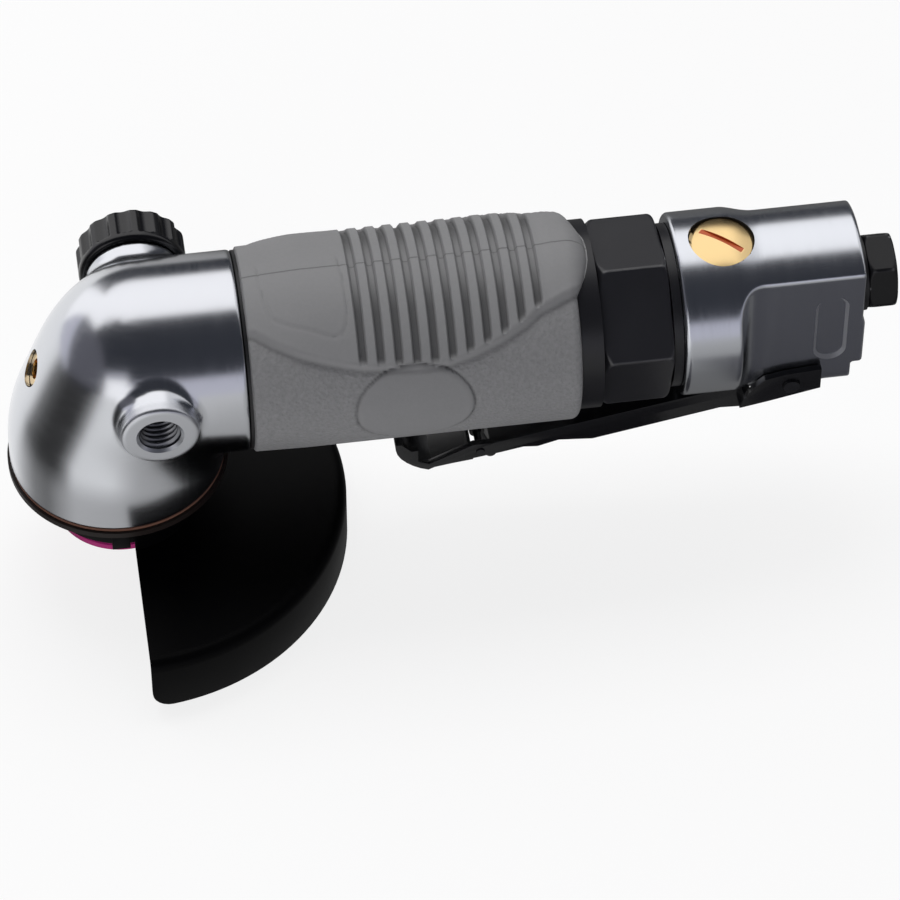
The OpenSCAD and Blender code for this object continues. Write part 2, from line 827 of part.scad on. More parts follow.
// Pinion and its carrier
carrier_lip_r = 14.6;
carrier_t = 3;
pinion_shaft_r = 5;
bearing_x0 = nose_seat_x + 0.6;
carrier_end = bearing_x0 + pinion_bearing_w + 0.8;
pinion_end = carrier_end + 2;

module pinion() {
    neck = 8;
    color(STEEL)
        difference() {
            union() {
                translate([0, 0, axis_h])
                    rotate([0, -90, 0])
                        difference() {
                            bevel_blank(pitch_angle, neck, bearing_x0 - free_gap);
                            tooth_spaces(pinion_teeth, pitch_angle, 180 / pinion_teeth);
                        }
                rod_x(bearing_x0 - 1, pinion_end, pinion_shaft_r);
            }
            rod_x(carrier_end - 8, pinion_end + 1, shaft_r - 0.6 + seat_gap);
        }
}

module pinion_bearing() {
    color(STEEL)
        bearing_x(bearing_x0, pinion_shaft_r + run_gap, pinion_bearing_r, pinion_bearing_w, 8);
}

module pinion_carrier() {
    hub_r = pinion_bearing_r + 2.5;
    color(CASTING)
        difference() {
            union() {
                rod_x(nose_seat_x, nose_seat_x + carrier_t, nose_bore_r - seat_gap);
                rod_x(nose_seat_x, carrier_end, hub_r);
            }
            rod_x(bearing_x0, carrier_end + 1, pinion_bearing_r + seat_gap);
            rod_x(nose_seat_x - 1, bearing_x0 + 1, pinion_bearing_r - 2);
        }
}

module head_seal() {
    color(SEAL)
        ring_x(head_len, head_len + 0.7, barrel_r - 0.2, motor_nose_r + seat_gap);
}

// Motor
motor_nose_r = nose_bore_r - seat_gap;
motor_flange_x = head_len + 0.7;
motor_flange_t = 2.6;
motor_end = nut_x + nut_len - 5.6;
stack_x = rotor_x - free_gap - plate_t - motor_bearing_w;
liner_x0 = rotor_x - free_gap;
liner_x1 = rotor_x + rotor_len + free_gap;
stack_end = liner_x1 + plate_t + motor_bearing_w;
spigot_fit_r = motor_bore_r - 5;
spacer_x = nose_seat_x + carrier_t + 0.05;

module motor_housing() {
    color(STEEL)
        difference() {
            union() {
                rod_x(nose_seat_x + carrier_t, motor_flange_x + 1, motor_nose_r);
                rod_x(motor_flange_x, motor_flange_x + motor_flange_t, barrel_r - 0.9);
                rod_x(motor_flange_x, nut_x - 0.2, motor_r);
                rod_x(motor_flange_x, motor_end, thread_neck_r);
            }
            rod_x(nose_seat_x, stack_end + seat_gap, motor_bore_r);
            rod_x(nose_seat_x, motor_end + 1, spigot_fit_r);
        }
}

module motor_spacer() {
    color(STEEL)
        ring_x(spacer_x, stack_x, motor_bore_r - seat_gap, motor_bore_r - 2.6);
}

module motor_liner() {
    ports = 6;
    color(STEEL)
        difference() {
            rod_x(liner_x0, liner_x1, motor_bore_r - seat_gap);
            translate([0, 0, liner_shift])
                rod_x(liner_x0 - 1, liner_x1 + 1, liner_bore_r);
            for (i = [0 : ports - 1])
                translate([liner_x0 + (liner_x1 - liner_x0) * (i + 1) / (ports + 1), -30, axis_h + liner_shift + 3])
                    rotate([-90, 0, 0])
                        cylinder(h = 30, r = 1.6, $fn = 24);
            liner_pin_hole(seat_gap);
        }
}

module liner_pin_hole(gap) {
    translate([0, 0, -motor_bore_r + 1.9])
        rod_x(liner_x0 - 3 - gap, liner_x0 + 5 + gap, 1 + gap);
}

module liner_pin() {
    color(STEEL)
        liner_pin_hole(0);
}

module end_plate(x0, bore_r) {
    difference() {
        rod_x(x0, x0 + plate_t, motor_bore_r - seat_gap);
        rod_x(x0 - 1, x0 + plate_t + 1, bore_r);
        liner_pin_hole(seat_gap);
    }
}

module front_plate() {
    color(STEEL) {
        end_plate(liner_x0 - plate_t, shaft_r + 0.4);
        ring_x(stack_x, liner_x0 - plate_t, motor_bore_r - 0.6, motor_bearing_r + seat_gap);
    }
}

module rear_plate() {
    color(STEEL) {
        end_plate(liner_x1, shaft_r + 0.4);
        ring_x(liner_x1 + plate_t, stack_end, motor_bore_r - 0.6, motor_bearing_r + seat_gap);
    }
}

module front_motor_bearing() {
    color(STEEL)
        bearing_x(stack_x, shaft_r + run_gap, motor_bearing_r, motor_bearing_w, 8);
}

module rear_motor_bearing() {
    color(STEEL)
        bearing_x(liner_x1 + plate_t, shaft_r + run_gap, motor_bearing_r, motor_bearing_w, 8);
}

module vane_slots(t, r_out, r_in, x0, x1) {
    for (i = [0 : vane_n - 1])
        translate([0, 0, axis_h])
            rotate([360 * i / vane_n, 0, 0])
                translate([x0, -t / 2, r_in])
                    cube([x1 - x0, t, r_out - r_in]);
}

module rotor() {
    color(STEEL)
        difference() {
            union() {
                rod_x(rotor_x, rotor_x + rotor_len, rotor_r);
                rod_x(stack_x - 1, stack_end + 1, shaft_r);
                rod_x(carrier_end - 6.4, stack_x, shaft_r - 0.6);
            }
            vane_slots(vane_t + 2 * run_gap, rotor_r + 1, rotor_r - 8, rotor_x - 1, rotor_x + rotor_len + 1);
        }
}

module rotor_vanes() {
    color(PHENOLIC)
        vane_slots(vane_t, rotor_r + 0.15, rotor_r - 7, rotor_x + 0.1, rotor_x + rotor_len - 0.1);
}

// Grip
grip_bore_r = motor_r + seat_gap;
grip_start = motor_flange_x + motor_flange_t;
plain_end = grip_end - 4;
collar_r = grip_bore_r + 1.4;

module grip_sleeve() {
    lip_r = barrel_r + 0.5;
    color(RUBBER)
        difference() {
            union() {
                turned_x(concat(
                    [[motor_flange_x + 0.1, barrel_r - 0.7]],
                    [[motor_flange_x + 0.1, lip_r - 0.4], [motor_flange_x + 0.6, lip_r]],
                    [[grip_start + 10, grip_r], [plain_end - 2, grip_r]],
                    arc([plain_end - 2, grip_r - 2], 2, 90, 0, 4),
                    [[plain_end, motor_r], [grip_start, motor_r], [grip_start, barrel_r - 0.7]]));
                pad_block();
            }
            for (i = [0 : rib_n - 1])
                rib_groove(rib_x + rib_pitch * i);
            rod_x(grip_start, grip_end + 1, grip_bore_r);
            rod_x(plain_end, grip_end + 1, collar_r + seat_gap);
            rod_x(motor_flange_x - 1, grip_start + seat_gap, barrel_r - 0.9 + seat_gap);
        }
}

// The raised pad covers the top of the grip, down both sides to a curved edge.
module pad_block() {
    span = grip_end - motor_flange_x;
    intersection() {
        turned_x(concat(
            [[motor_flange_x + 0.1, 0], [motor_flange_x + 0.1, grip_r - 0.3], [motor_flange_x + 14, pad_r]],
            [[rib_x + rib_pitch * rib_n - 2, pad_r]],
            arc([grip_end - 5.6, bulge_r - 5.6], 5.6, 90, 0, 8),
            [[grip_end, 0]]));
        translate([0, 40, 0])
            rotate([90, 0, 0])
                linear_extrude(height = 80)
                    polygon(concat(
                        [[motor_flange_x - 1, axis_h + 60], [motor_flange_x - 1, axis_h + pad_line[0][1] * grip_r]],
                        [for (p = pad_line) [motor_flange_x + p[0] * span, axis_h + p[1] * grip_r]],
                        [[grip_end + 1, axis_h + 60]]));
    }
}

// The pad's lower edge: share of the grip's length, height over its radius.
pad_line = [
    [0, 0.82], [0.07, 0.73], [0.14, 0.66], [0.21, 0.59], [0.27, 0.54], [0.34, 0.49],
    [0.41, 0.465], [0.48, 0.46], [0.55, 0.49], [0.62, 0.545], [0.68, 0.62], [0.73, 0.69],
    [0.78, 0.765], [0.84, 0.84], [0.92, 0.885], [1.02, 0.92]];

// Height of the pad's edge at a place along the tool.
function pad_edge(x) = grip_r * lookup((x - motor_flange_x) / (grip_end - motor_flange_x), pad_line);

module rib_groove(x) {
    w = 1.5;
    difference() {
        turned_x([
            [x - w / 2, pad_r - groove_d], [x - w * 0.72, pad_r + 3],
            [x + w * 0.72, pad_r + 3], [x + w / 2, pad_r - groove_d]]);
        translate([x - 5, -60, axis_h - 60])
            cube([10, 120, 60 + pad_edge(x) + 1]);
    }
}

module grip_collar() {
    color(BLACKENED)
        ring_x(plain_end + 0.1, nut_x - 0.25, collar_r, grip_bore_r);
}

// Coupling nut, its ring and the spigot's seal
nut_r = nut_af / sqrt(3);
spigot_r = thread_neck_r - 1;
spigot_x = motor_end - 7.6;
step_x = motor_end + 0.2;
snap_x = step_x + 0.8;
snap_t = 1.2;
snap_low_r = spigot_r - 1.2;
snap_high_r = thread_neck_r - 0.1;
ring_seat_r = spigot_fit_r - 0.95;

module coupling_nut() {
    cham = 1.2;
    color(BLACKENED)
        difference() {
            intersection() {
                translate([nut_x, 0, axis_h])
                    rotate([0, 90, 0])
                        rotate([0, 0, nut_turn])
                            cylinder(h = nut_len, r = nut_r, $fn = 6);
                turned_x([
                    [nut_x, 0], [nut_x, nut_r - cham - 0.4], [nut_x + cham, nut_r - 0.35],
                    [nut_end - cham * 0.6, nut_r - 0.35], [nut_end, nut_r - cham + 0.2], [nut_end, 0]]);
            }
            rod_x(nut_x - 1, snap_x + snap_t + 0.1, thread_neck_r + seat_gap);
            rod_x(nut_x, nut_end + 1, spigot_r + seat_gap);
        }
}

module coupling_ring() {
    color(BLACKENED)
        ring_x(nut_end + 0.2, housing_x - 0.2, spigot_r + 3.2, spigot_r + seat_gap);
}

module snap_ring() {
    color(STEEL)
        difference() {
            ring_x(snap_x, snap_x + snap_t, snap_high_r, snap_low_r + seat_gap);
            translate([snap_x - 1, -1.5, axis_h + 10])
                cube([5, 3, 20]);
        }
}

module seal_groove(x, r) {
    translate([x, 0, axis_h])
        rotate([0, 90, 0])
            rotate_extrude()
                translate([ring_seat_r, 0])
                    circle(r = r, $fn = 24);
}

module spigot_oring() {
    color(SEAL)
        seal_groove(spigot_x + 3, 0.85);
}

// Valve housing
foot_x = pivot_x + 7;
foot_z = axis_h - 19.5;
lug_z = axis_h - 21.8;
under_z = axis_h - 19.4;
plug_top = axis_h + housing_r - plug_sink;
plug_seat = plug_top - 8;
seat_top = axis_h - 2;
stem_r = 2.2;
gallery_z = axis_h - 9;
muffler_x = spigot_x + 1;
muffler_len = 9;
muffler_r = 11.4;

module housing_body() {
    nose = 1.6;
    front_end = flat_x + flat_fillet;
    difference() {
        union() {
            turned_x(concat(
                [[housing_x, 0]],
                arc([housing_x + nose, housing_r - nose], nose, 180, 90, 5),
                [[valve_x + 3, housing_r], [valve_x + 6, housing_r - (housing_r - waist_r) * 0.6],
                 [valve_x + 9, waist_r], [housing_end - 0.8, waist_r], [housing_end, waist_r - 0.8],
                 [housing_end, 0]]));
            translate([front_end, -flat_y, lug_z])
                cube([foot_x - 0.6 - front_end, 2 * flat_y, axis_h - lug_z]);
            side_profile(-flat_y, 2 * flat_y, concat(
                [[foot_x - 2, axis_h], [foot_x - 2, foot_z + 5], [foot_x, foot_z + 4]],
                arc([foot_x + 2, foot_z + 2], 2, 180, 270, 5),
                [[housing_end, foot_z], [housing_end, axis_h]]));
        }
        for (s = [-1, 1]) {
            translate([front_end, s > 0 ? flat_y : -flat_y - 40, 0])
                cube([100, 40, 150]);
            translate([flat_x, s > 0 ? flat_y + flat_fillet : -flat_y - flat_fillet - 40, 0])
                cube([100, 40, 150]);
            translate([front_end, s * (flat_y + flat_fillet), 0])
                cylinder(h = 150, r = flat_fillet);
        }
        translate([housing_x - 1, -30, 0])
            cube([front_end - housing_x + 1, 60, under_z]);
        side_profile(-30, 60, [
            [housing_end - 0.1, axis_h + 17], [housing_end + 2, axis_h + 17], [housing_end + 2, foot_z - 4],
            [housing_end - 2.4, foot_z - 4], [housing_end - 2.2, foot_z + 5.5], [housing_end - 1.4, foot_z + 6]]);
    }
}

module valve_housing() {
    color(CASTING)
        difference() {
            union() {
                housing_body();
                rod_x(spigot_x, step_x + 1, spigot_fit_r - 0.1);
                rod_x(step_x, housing_x + 2, spigot_r);
            }
            seal_groove(spigot_x + 3, 0.9);
            ring_x(snap_x - 0.05, snap_x + snap_t + 0.05, spigot_r + 1, snap_low_r);
            translate([valve_x, 0, plug_top - 1.2])
                cylinder(h = 10, r = plug_r + 0.25);
            translate([valve_x, 0, plug_seat])
                cylinder(h = 20, r = plug_r - 1 + seat_gap);
            translate([valve_x, 0, seat_top - seat_h])
                cylinder(h = plug_seat - seat_top + seat_h + 1, r = chamber_r);
            translate([valve_x, 0, gallery_z - 3])
                cylinder(h = seat_top - gallery_z, r = 4.4);
            translate([valve_x, 0, 0])
                cylinder(h = axis_h, r = stem_r + run_gap);
            translate([valve_x, 0, under_z - 1])
                cylinder(h = 4, r = stem_r + 1.6);
            translate([0, 0, gallery_z - axis_h])
                rod_x(spigot_x - 1, valve_x, 3.6);
            translate([0, 0, inlet_rise])
                rod_x(valve_x, housing_end + 1, 4.6);
            translate([0, 0, inlet_rise])
                rod_x(housing_end - inlet_depth, housing_end + 1, inlet_body_r + seat_gap);
            rod_x(spigot_x - 1, muffler_x + muffler_len + 1.5, muffler_r);
            for (s = [-1, 1])
                translate([0, s * 7.6, -9.8])
                    rod_x(step_x + 1.6, housing_end + 1, 2.1);
            translate([pivot_x, 30, pivot_z])
                rotate([90, 0, 0])
                    cylinder(h = 60, r = pivot_r + run_gap);
        }
}

seat_h = 4;
plug_slot = 1.4;

module valve_plug() {
    dome_h = 0.9;
    color(BRASS)
        translate([valve_x, 0, 0])
            difference() {
                rotate_extrude()
                    polygon(concat(
                        [[0, plug_seat + 0.4], [plug_r - 1, plug_seat + 0.4], [plug_r - 1, plug_top - 1.2],
                         [plug_r, plug_top - 1.2], [plug_r, plug_top - 0.5]],
                        [for (i = [0 : 6]) let (t = i / 6) [plug_r * (1 - t) , plug_top - 0.5 + dome_h * (1 - pow(1 - t, 2))]]));
                translate([0, 0, plug_seat - 1])
                    cylinder(h = 6, r = spring_coil_r + 0.9);
                rotate([0, 0, -40])
                    translate([-20, -plug_slot / 2, plug_top - 1])
                        cube([40, plug_slot, 5]);
            }
}

module plug_oring() {
    color(SEAL)
        translate([valve_x, 0, plug_seat + 0.1])
            ring_z(-0.9, 0.2, chamber_r - 0.05, spring_coil_r + 1);
}

valve_head_z = seat_top + free_gap / 3;
spring_low = valve_head_z + 3.2;
spring_high = plug_seat + 4.9;

module throttle_valve() {
    stem_low = stem_foot;
    color(BRASS)
        translate([valve_x, 0, 0])
            rotate_extrude()
                polygon([
                    [0, stem_low], [stem_r - 0.5, stem_low], [stem_r, stem_low + 0.5], [stem_r, valve_head_z],
                    [chamber_r - 0.6, valve_head_z], [chamber_r - 0.6, valve_head_z + 2], [3, valve_head_z + 2],
                    [3, spring_low - 0.1], [spring_coil_r - 1.6, spring_low - 0.1],
                    [spring_coil_r - 1.6, spring_low + 2], [0, spring_low + 2]]);
}

module valve_seat() {
    color(BRASS)
        translate([valve_x, 0, 0])
            ring_z(seat_top - seat_h, seat_top, chamber_r - seat_gap, 3.6);
}

module stem_seal() {
    color(SEAL)
        translate([valve_x, 0, 0])
            ring_z(under_z + 0.3, under_z + 2.8, stem_r + 1.5, stem_r + run_gap);
}

// Points of a compression spring about the valve's axis, with straight ends.
function coil(r, z0, z1, turns, per) =
    [for (i = [0 : turns * per]) let (a = 360 * i / per, t = i / (turns * per))
        [r * cos(a), r * sin(a), z0 + (z1 - z0) * t]];

module valve_spring() {
    per = 8;
    lead = 2 * spring_wire_r;
    low = spring_low + spring_wire_r;
    high = spring_high - spring_wire_r - 0.2;
    turns = coil(spring_coil_r - spring_wire_r, low, high, spring_turns, per);
    first = turns[0] + [0, -lead, 0];
    last = turns[len(turns) - 1] + [0, lead, 0];
    path = concat([first], turns, [last]);
    echo(valve_spring_least_gap = least_gap(path, 4) - 2 * spring_wire_r);
    color(STEEL)
        translate([valve_x, 0, 0])
            tube(path, spring_wire_r, [0, 0, 1]);
}

// Inlet
inlet_body_r = inlet_thread_r + 1.6;
inlet_depth = 11;
inlet_hex_r = inlet_af / sqrt(3);
inlet_neck = 1.9;

module inlet_bushing() {
    color(BLACKENED)
        translate([0, 0, inlet_rise])
            difference() {
                union() {
                    rod_x(housing_end - inlet_depth + 1, housing_end + inlet_neck, inlet_body_r);
                    translate([housing_end + inlet_neck, 0, axis_h])
                        intersection() {
                            rotate([0, 90, 0])
                                rotate([0, 0, inlet_turn])
                                    cylinder(h = inlet_len - inlet_neck, r = inlet_hex_r, $fn = 6);
                            rotate([0, 90, 0])
                                rotate_extrude()
                                    polygon([
                                        [0, 0], [inlet_hex_r - 1.2, 0], [inlet_hex_r, 1.2],
                                        [inlet_hex_r, inlet_len - inlet_neck - 1.2],
                                        [inlet_hex_r - 1.2, inlet_len - inlet_neck], [0, inlet_len - inlet_neck]]);
                        }
                }
                rod_x(housing_end - inlet_depth + 5, housing_end + inlet_len + 1, inlet_thread_r);
                rod_x(housing_end - inlet_depth + 4, housing_end, inlet_thread_r - 0.6);
                rod_x(housing_end - inlet_depth, housing_end + inlet_len + 1, 4.6);
            }
}

module inlet_washer() {
    color(SEAL)
        translate([0, 0, inlet_rise])
            ring_x(housing_end + 0.1, housing_end + inlet_neck - 0.1, inlet_body_r + 1.2, inlet_body_r + seat_gap);
}

module inlet_screen() {
    mesh = 5;
    x = housing_end - inlet_depth + 4;
    color(STEEL)
        translate([0, 0, inlet_rise])
            difference() {
                rod_x(x + 0.05, x + 0.8, inlet_thread_r - 0.6 - seat_gap);
                for (i = [0 : mesh - 1])
                    for (j = [0 : mesh - 1])
                        translate([x - 1, (i - 2) * 1.7 - 0.5, axis_h + (j - 2) * 1.7 - 0.5])
                            cube([3, 1, 1]);
            }
}

module exhaust_muffler() {
    color(FELT)
        difference() {
            rod_x(muffler_x, muffler_x + muffler_len, muffler_r - 0.1);
            rod_x(muffler_x - 1, muffler_x + muffler_len + 1, 4);
            translate([0, 0, gallery_z - axis_h])
                rod_x(muffler_x - 1, muffler_x + muffler_len + 1, 3.8);
        }
}

// Lever, an open channel with its web on top
span = lever_len;
ear_y = flat_y + free_gap;
slot_end = pivot_x - span * 0.757;
web_end = pivot_x - span * 0.115;
// Height of the web's top at a distance d in front of the pivot.
function web_z(x) = pivot_z - 0.5 - 0.2 * (pivot_x - x);
function at(f, drop) = [pivot_x - f * span, pivot_z - drop * lever_depth / 22.4];
stem_foot = web_z(valve_x) + free_gap;
paddle_top = pivot_z - 14.9;
lever_nose = 12.1;

module side_profile(y0, t, points) {
    translate([0, y0 + t, 0])
        rotate([90, 0, 0])
            linear_extrude(height = t)
                polygon(points);
}

// Outer line of the curled front plate, from its top to its lower end.
curl = concat([at(1, lever_nose)], [at(1, 14), at(0.996, 15.6), at(0.987, 17.3), at(0.973, 18.9),
    at(0.957, 20.3), at(0.938, 21.5), at(0.917, 22.4)]);
under_line = [at(0.895, 21.4), at(0.78, 19.5), at(0.732, 18.7), at(0.673, 17.5), at(0.637, 17.9),
    at(0.583, 16.3), at(0.496, 17.2), at(0.346, 14.2), at(0.17, 10.6), at(0.12, 10.9)];

module lever() {
    color(BLACKENED)
        difference() {
            union() {
                for (s = [-1, 1]) {
                    side_profile(s > 0 ? lever_y - lever_t : -lever_y, lever_t, concat(
                        curl, under_line,
                        [[web_end, web_z(web_end)], [slot_end, web_z(slot_end)], [slot_end, paddle_top],
                         [slot_end - 3, paddle_top], at(0.96, 14.9), at(0.985, lever_nose)]));
                    side_profile(s > 0 ? ear_y : -ear_y - lever_t, lever_t, ear_points);
                    side_profile(s > 0 ? lever_y - lever_t : -ear_y - lever_t, ear_y - lever_y + 2 * lever_t,
                        [at(0.13, 6.3), at(0.108, 5.7), at(0.1, 2.6), at(0.12, 3)]);
                }
                side_profile(-lever_y, 2 * lever_y, concat(
                    curl, [for (i = [len(curl) - 1 : -1 : 1]) curl[i] + lever_t * unit_in(i)],
                    [curl[0] + [lever_t, 0]]));
                side_profile(-lever_y, 2 * lever_y, [
                    [slot_end, web_z(slot_end)], [web_end, web_z(web_end)],
                    [web_end, web_z(web_end) - lever_t], [slot_end, web_z(slot_end) - lever_t]]);
            }
            translate([catch_x, 30, catch_z])
                rotate([90, 0, 0])
                    cylinder(h = 60, r = catch_pin_r + seat_gap, $fn = 32);
            translate([pivot_x, 30, pivot_z])
                rotate([90, 0, 0])
                    cylinder(h = 60, r = pivot_r + seat_gap);
        }
}

// Direction into the sheet at a point of the curl.
function unit_in(i) = let (
    a = curl[max(i - 1, 0)], b = curl[min(i + 1, len(curl) - 1)],
    d = (b - a) / norm(b - a)) [-d[1], d[0]];

ear_points = concat(
    [at(0.129, 6.4), at(0.06, 5), at(-0.075, 1.9), at(-0.075, -4.9)],
    [at(0.02, -4.1), at(0.068, -3), at(0.095, -0.6), at(0.112, 2.2)]);

module lever_pin() {
    reach = ear_y + lever_t + 0.6;
    color(STEEL)
        translate([pivot_x, reach, pivot_z])
            rotate([90, 0, 0])
                cylinder(h = 2 * reach, r = pivot_r);
}

catch_w = 7;
catch_x = pivot_x - catch_reach;
catch_z = pivot_z - 17.6;
catch_pin_r = 1;
catch_barrel_r = 1.9;
catch_lean = 22;

module safety_catch() {
    top = 6.2;
    half = 1.3;
    color(BLACKENED)
        translate([catch_x, 0, catch_z])
            difference() {
                rotate([0, -catch_lean, 0])
                    union() {
                        translate([0, catch_w / 2, 0])
                            rotate([90, 0, 0])
                                cylinder(h = catch_w, r = catch_barrel_r, $fn = 48);
                        side_profile(-catch_w / 2, catch_w, concat(
                            [[half, top - 0.6], [half - 0.6, top], [-half, top], [-half, -catch_drop + 1.3]],
                            arc([0, -catch_drop + 1.3], 1.3, 180, 360, 8)));
                    }
                translate([0, 30, 0])
                    rotate([90, 0, 0])
                        cylinder(h = 60, r = catch_pin_r + run_gap, $fn = 32);
            }
}

module catch_pin() {
    reach = lever_y + 0.3;
    color(STEEL)
        translate([catch_x, reach, catch_z])
            rotate([90, 0, 0])
                cylinder(h = 2 * reach, r = catch_pin_r, $fn = 32);
}

module catch_spring() {
    per = 8;
    turns = 3;
    pitch = 2 * catch_wire_r + 0.5;
    r = catch_pin_r + catch_wire_r + 0.25;
    y0 = catch_w / 2 + 0.8;
    start = [catch_x, y0, catch_z];
    loops = [for (i = [0 : turns * per]) let (a = 360 * i / per)
        start + [r * cos(a), pitch * i / per, r * sin(a)]];
    first = loops[0] + [0, 0, -2 * catch_wire_r];
    last = loops[len(loops) - 1] + [0, 0, 2 * catch_wire_r];
    path = concat([first], loops, [last]);
    echo(catch_spring_least_gap = least_gap(path, 4) - 2 * catch_wire_r);
    color(STEEL)
        tube(path, catch_wire_r, [0, 1, 0]);
}

gear_housing();
grease_fitting();
port_knob();
knob_stud();
bearing_cap();
cap_gasket();
cap_screws();
spindle();
gear_key();
gear_nut();
bevel_gear();
lower_bearing();
upper_bearing();
backing_flange();
guard();
guard_screw();
guard_nut();
pinion();
pinion_bearing();
pinion_carrier();
head_seal();
motor_housing();
motor_liner();
liner_pin();
rotor();
rotor_vanes();
front_plate();
rear_plate();
front_motor_bearing();
rear_motor_bearing();
motor_spacer();
grip_sleeve();
grip_collar();
coupling_nut();
coupling_ring();
snap_ring();
spigot_oring();
valve_housing();
valve_plug();
plug_oring();
valve_spring();
throttle_valve();
valve_seat();
stem_seal();
inlet_bushing();
inlet_washer();
inlet_screen();
exhaust_muffler();
lever();
lever_pin();
safety_catch();
catch_pin();
catch_spring();
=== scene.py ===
# %% [markdown]
# # Air angle grinder, dressed for a product picture
# The solids of the tool come in finished and in place. This lesson gives them the
# look of the real thing: a polished cast head, a rubber grip, blackened steel and
# brass. Lengths are thought of in millimetres and turned into metres by `MM`.

# %% Load the solids
import json
import math

import bmesh
import bpy
import numpy as np
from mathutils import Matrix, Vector


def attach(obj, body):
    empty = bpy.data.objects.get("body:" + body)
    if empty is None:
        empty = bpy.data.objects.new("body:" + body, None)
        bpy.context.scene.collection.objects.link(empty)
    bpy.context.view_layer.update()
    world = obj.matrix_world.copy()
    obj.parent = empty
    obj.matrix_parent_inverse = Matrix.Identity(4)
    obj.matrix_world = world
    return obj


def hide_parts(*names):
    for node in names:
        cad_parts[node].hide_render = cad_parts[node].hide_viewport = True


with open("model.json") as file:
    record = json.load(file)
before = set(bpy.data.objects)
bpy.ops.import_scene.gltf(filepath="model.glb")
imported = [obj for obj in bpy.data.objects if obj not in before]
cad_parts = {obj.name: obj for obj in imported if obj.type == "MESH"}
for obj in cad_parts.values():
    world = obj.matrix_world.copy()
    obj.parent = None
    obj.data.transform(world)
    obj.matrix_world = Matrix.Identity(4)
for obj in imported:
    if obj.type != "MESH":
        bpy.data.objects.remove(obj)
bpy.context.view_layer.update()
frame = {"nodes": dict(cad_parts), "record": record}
nodes = frame["nodes"]
MM = 0.001
AXIS = 51.0

# %% [markdown]
# ## The camera
# A long lens from 1.2 metres away keeps the tool's lines nearly parallel. The camera
# looks down by 50 degrees and stands 8 degrees to the left of the tool's middle.
# The place is written in the solids' own frame, so nothing has to be fitted.

# %% Camera
def look_from(azimuth, elevation):
    a, e = math.radians(azimuth), math.radians(elevation)
    return Vector((math.sin(a) * math.cos(e), -math.cos(a) * math.cos(e), math.sin(e)))


back = look_from(-8.0, 50.0)
lens = bpy.data.cameras.new("camera")
lens.lens = 206.42
lens.sensor_width = 36.0
lens.clip_start, lens.clip_end = 0.1, 20.0
camera = bpy.data.objects.new("camera", lens)
camera.location = Vector((-32.4, -812.9, 983.4)) * MM
camera.rotation_mode = "QUATERNION"
camera.rotation_quaternion = (-back).to_track_quat("-Z", "Y")
bpy.context.scene.collection.objects.link(camera)
bpy.context.scene.camera = camera
print("camera at", [round(v, 3) for v in camera.location])

# %% [markdown]
# ## Helpers for modelling
# An operator acts on all that is selected, so every helper starts from a clean
# selection. `turned` draws half of a section and spins it, as a lathe does.
# `copy_of` takes one of the tool's solids as a start: its loose triangles are
# merged, and flat neighbours are joined so that a bevel finds the real edges.

# %% Modelling helpers
def clear():
    if bpy.context.object and bpy.context.object.mode != "OBJECT":
        bpy.ops.object.mode_set(mode="OBJECT")
    bpy.ops.object.select_all(action="DESELECT")


def pick(obj):
    clear()
    obj.select_set(True)
    bpy.context.view_layer.objects.active = obj


def edit(obj, mode="VERT", action="SELECT"):
    pick(obj)
    bpy.ops.object.mode_set(mode="EDIT")
    bpy.ops.mesh.select_mode(type=mode)
    bpy.ops.mesh.select_all(action=action)


def done():
    bpy.ops.object.mode_set(mode="OBJECT")


def place(obj):
    pick(obj)
    bpy.ops.object.transform_apply(location=True, rotation=True, scale=True)
    return obj


def tidy(obj, gap=2e-6):
    edit(obj)
    bpy.ops.mesh.remove_doubles(threshold=gap)
    bpy.ops.mesh.normals_make_consistent(inside=False)
    done()
    return obj


def modify(obj, kind, **values):
    pick(obj)
    m = obj.modifiers.new(kind.lower(), kind)
    for key, value in values.items():
        setattr(m, key, value)
    bpy.ops.object.modifier_apply(modifier=m.name)
    return obj


def soften(obj, width, angle):
    return modify(obj, "BEVEL", width=width * MM, segments=3, limit_method="ANGLE",
                  angle_limit=math.radians(angle), use_clamp_overlap=True, miter_outer="MITER_ARC")


def shade(obj, angle):
    """Smooth shading, apart from edges that are sharper than the angle."""
    pick(obj)
    bpy.ops.object.shade_smooth_by_angle(angle=math.radians(angle))


def from_points(name, points, edges=(), faces=()):
    mesh = bpy.data.meshes.new(name)
    mesh.from_pydata([tuple(Vector(p) * MM) for p in points], edges, faces)
    obj = bpy.data.objects.new(name, mesh)
    bpy.context.scene.collection.objects.link(obj)
    return obj


def loft(name, first, second):
    """A closed solid between two outlines that have as many points each."""
    n = len(first)
    faces = [tuple(range(n)), tuple(range(2 * n - 1, n - 1, -1))]
    faces += [(i, i + n, (i + 1) % n + n, (i + 1) % n) for i in range(n)]
    return tidy(from_points(name, first + second, (), faces))


def turned(name, points, upright_x=None):
    """points are (distance along the axis, radius), in order round the section. The
    axis is the tool's long one, or an upright one at upright_x."""
    upright = upright_x is not None
    off = Vector((upright_x, 0, 0) if upright else (0, 0, AXIS))
    rows = [Vector((r, 0, d) if upright else (d, 0, r)) + off for d, r in points]
    n = len(rows)
    edges = [(i, i + 1) for i in range(n - 1)]
    if points[0][1] > 0 or points[-1][1] > 0:
        edges.append((n - 1, 0))
    obj = from_points(name, rows, edges)
    edit(obj)
    axis = (0, 0, 1) if upright else (1, 0, 0)
    bpy.ops.mesh.spin(steps=96, angle=2 * math.pi, center=off * MM, axis=axis)
    done()
    return tidy(obj, 1e-6)


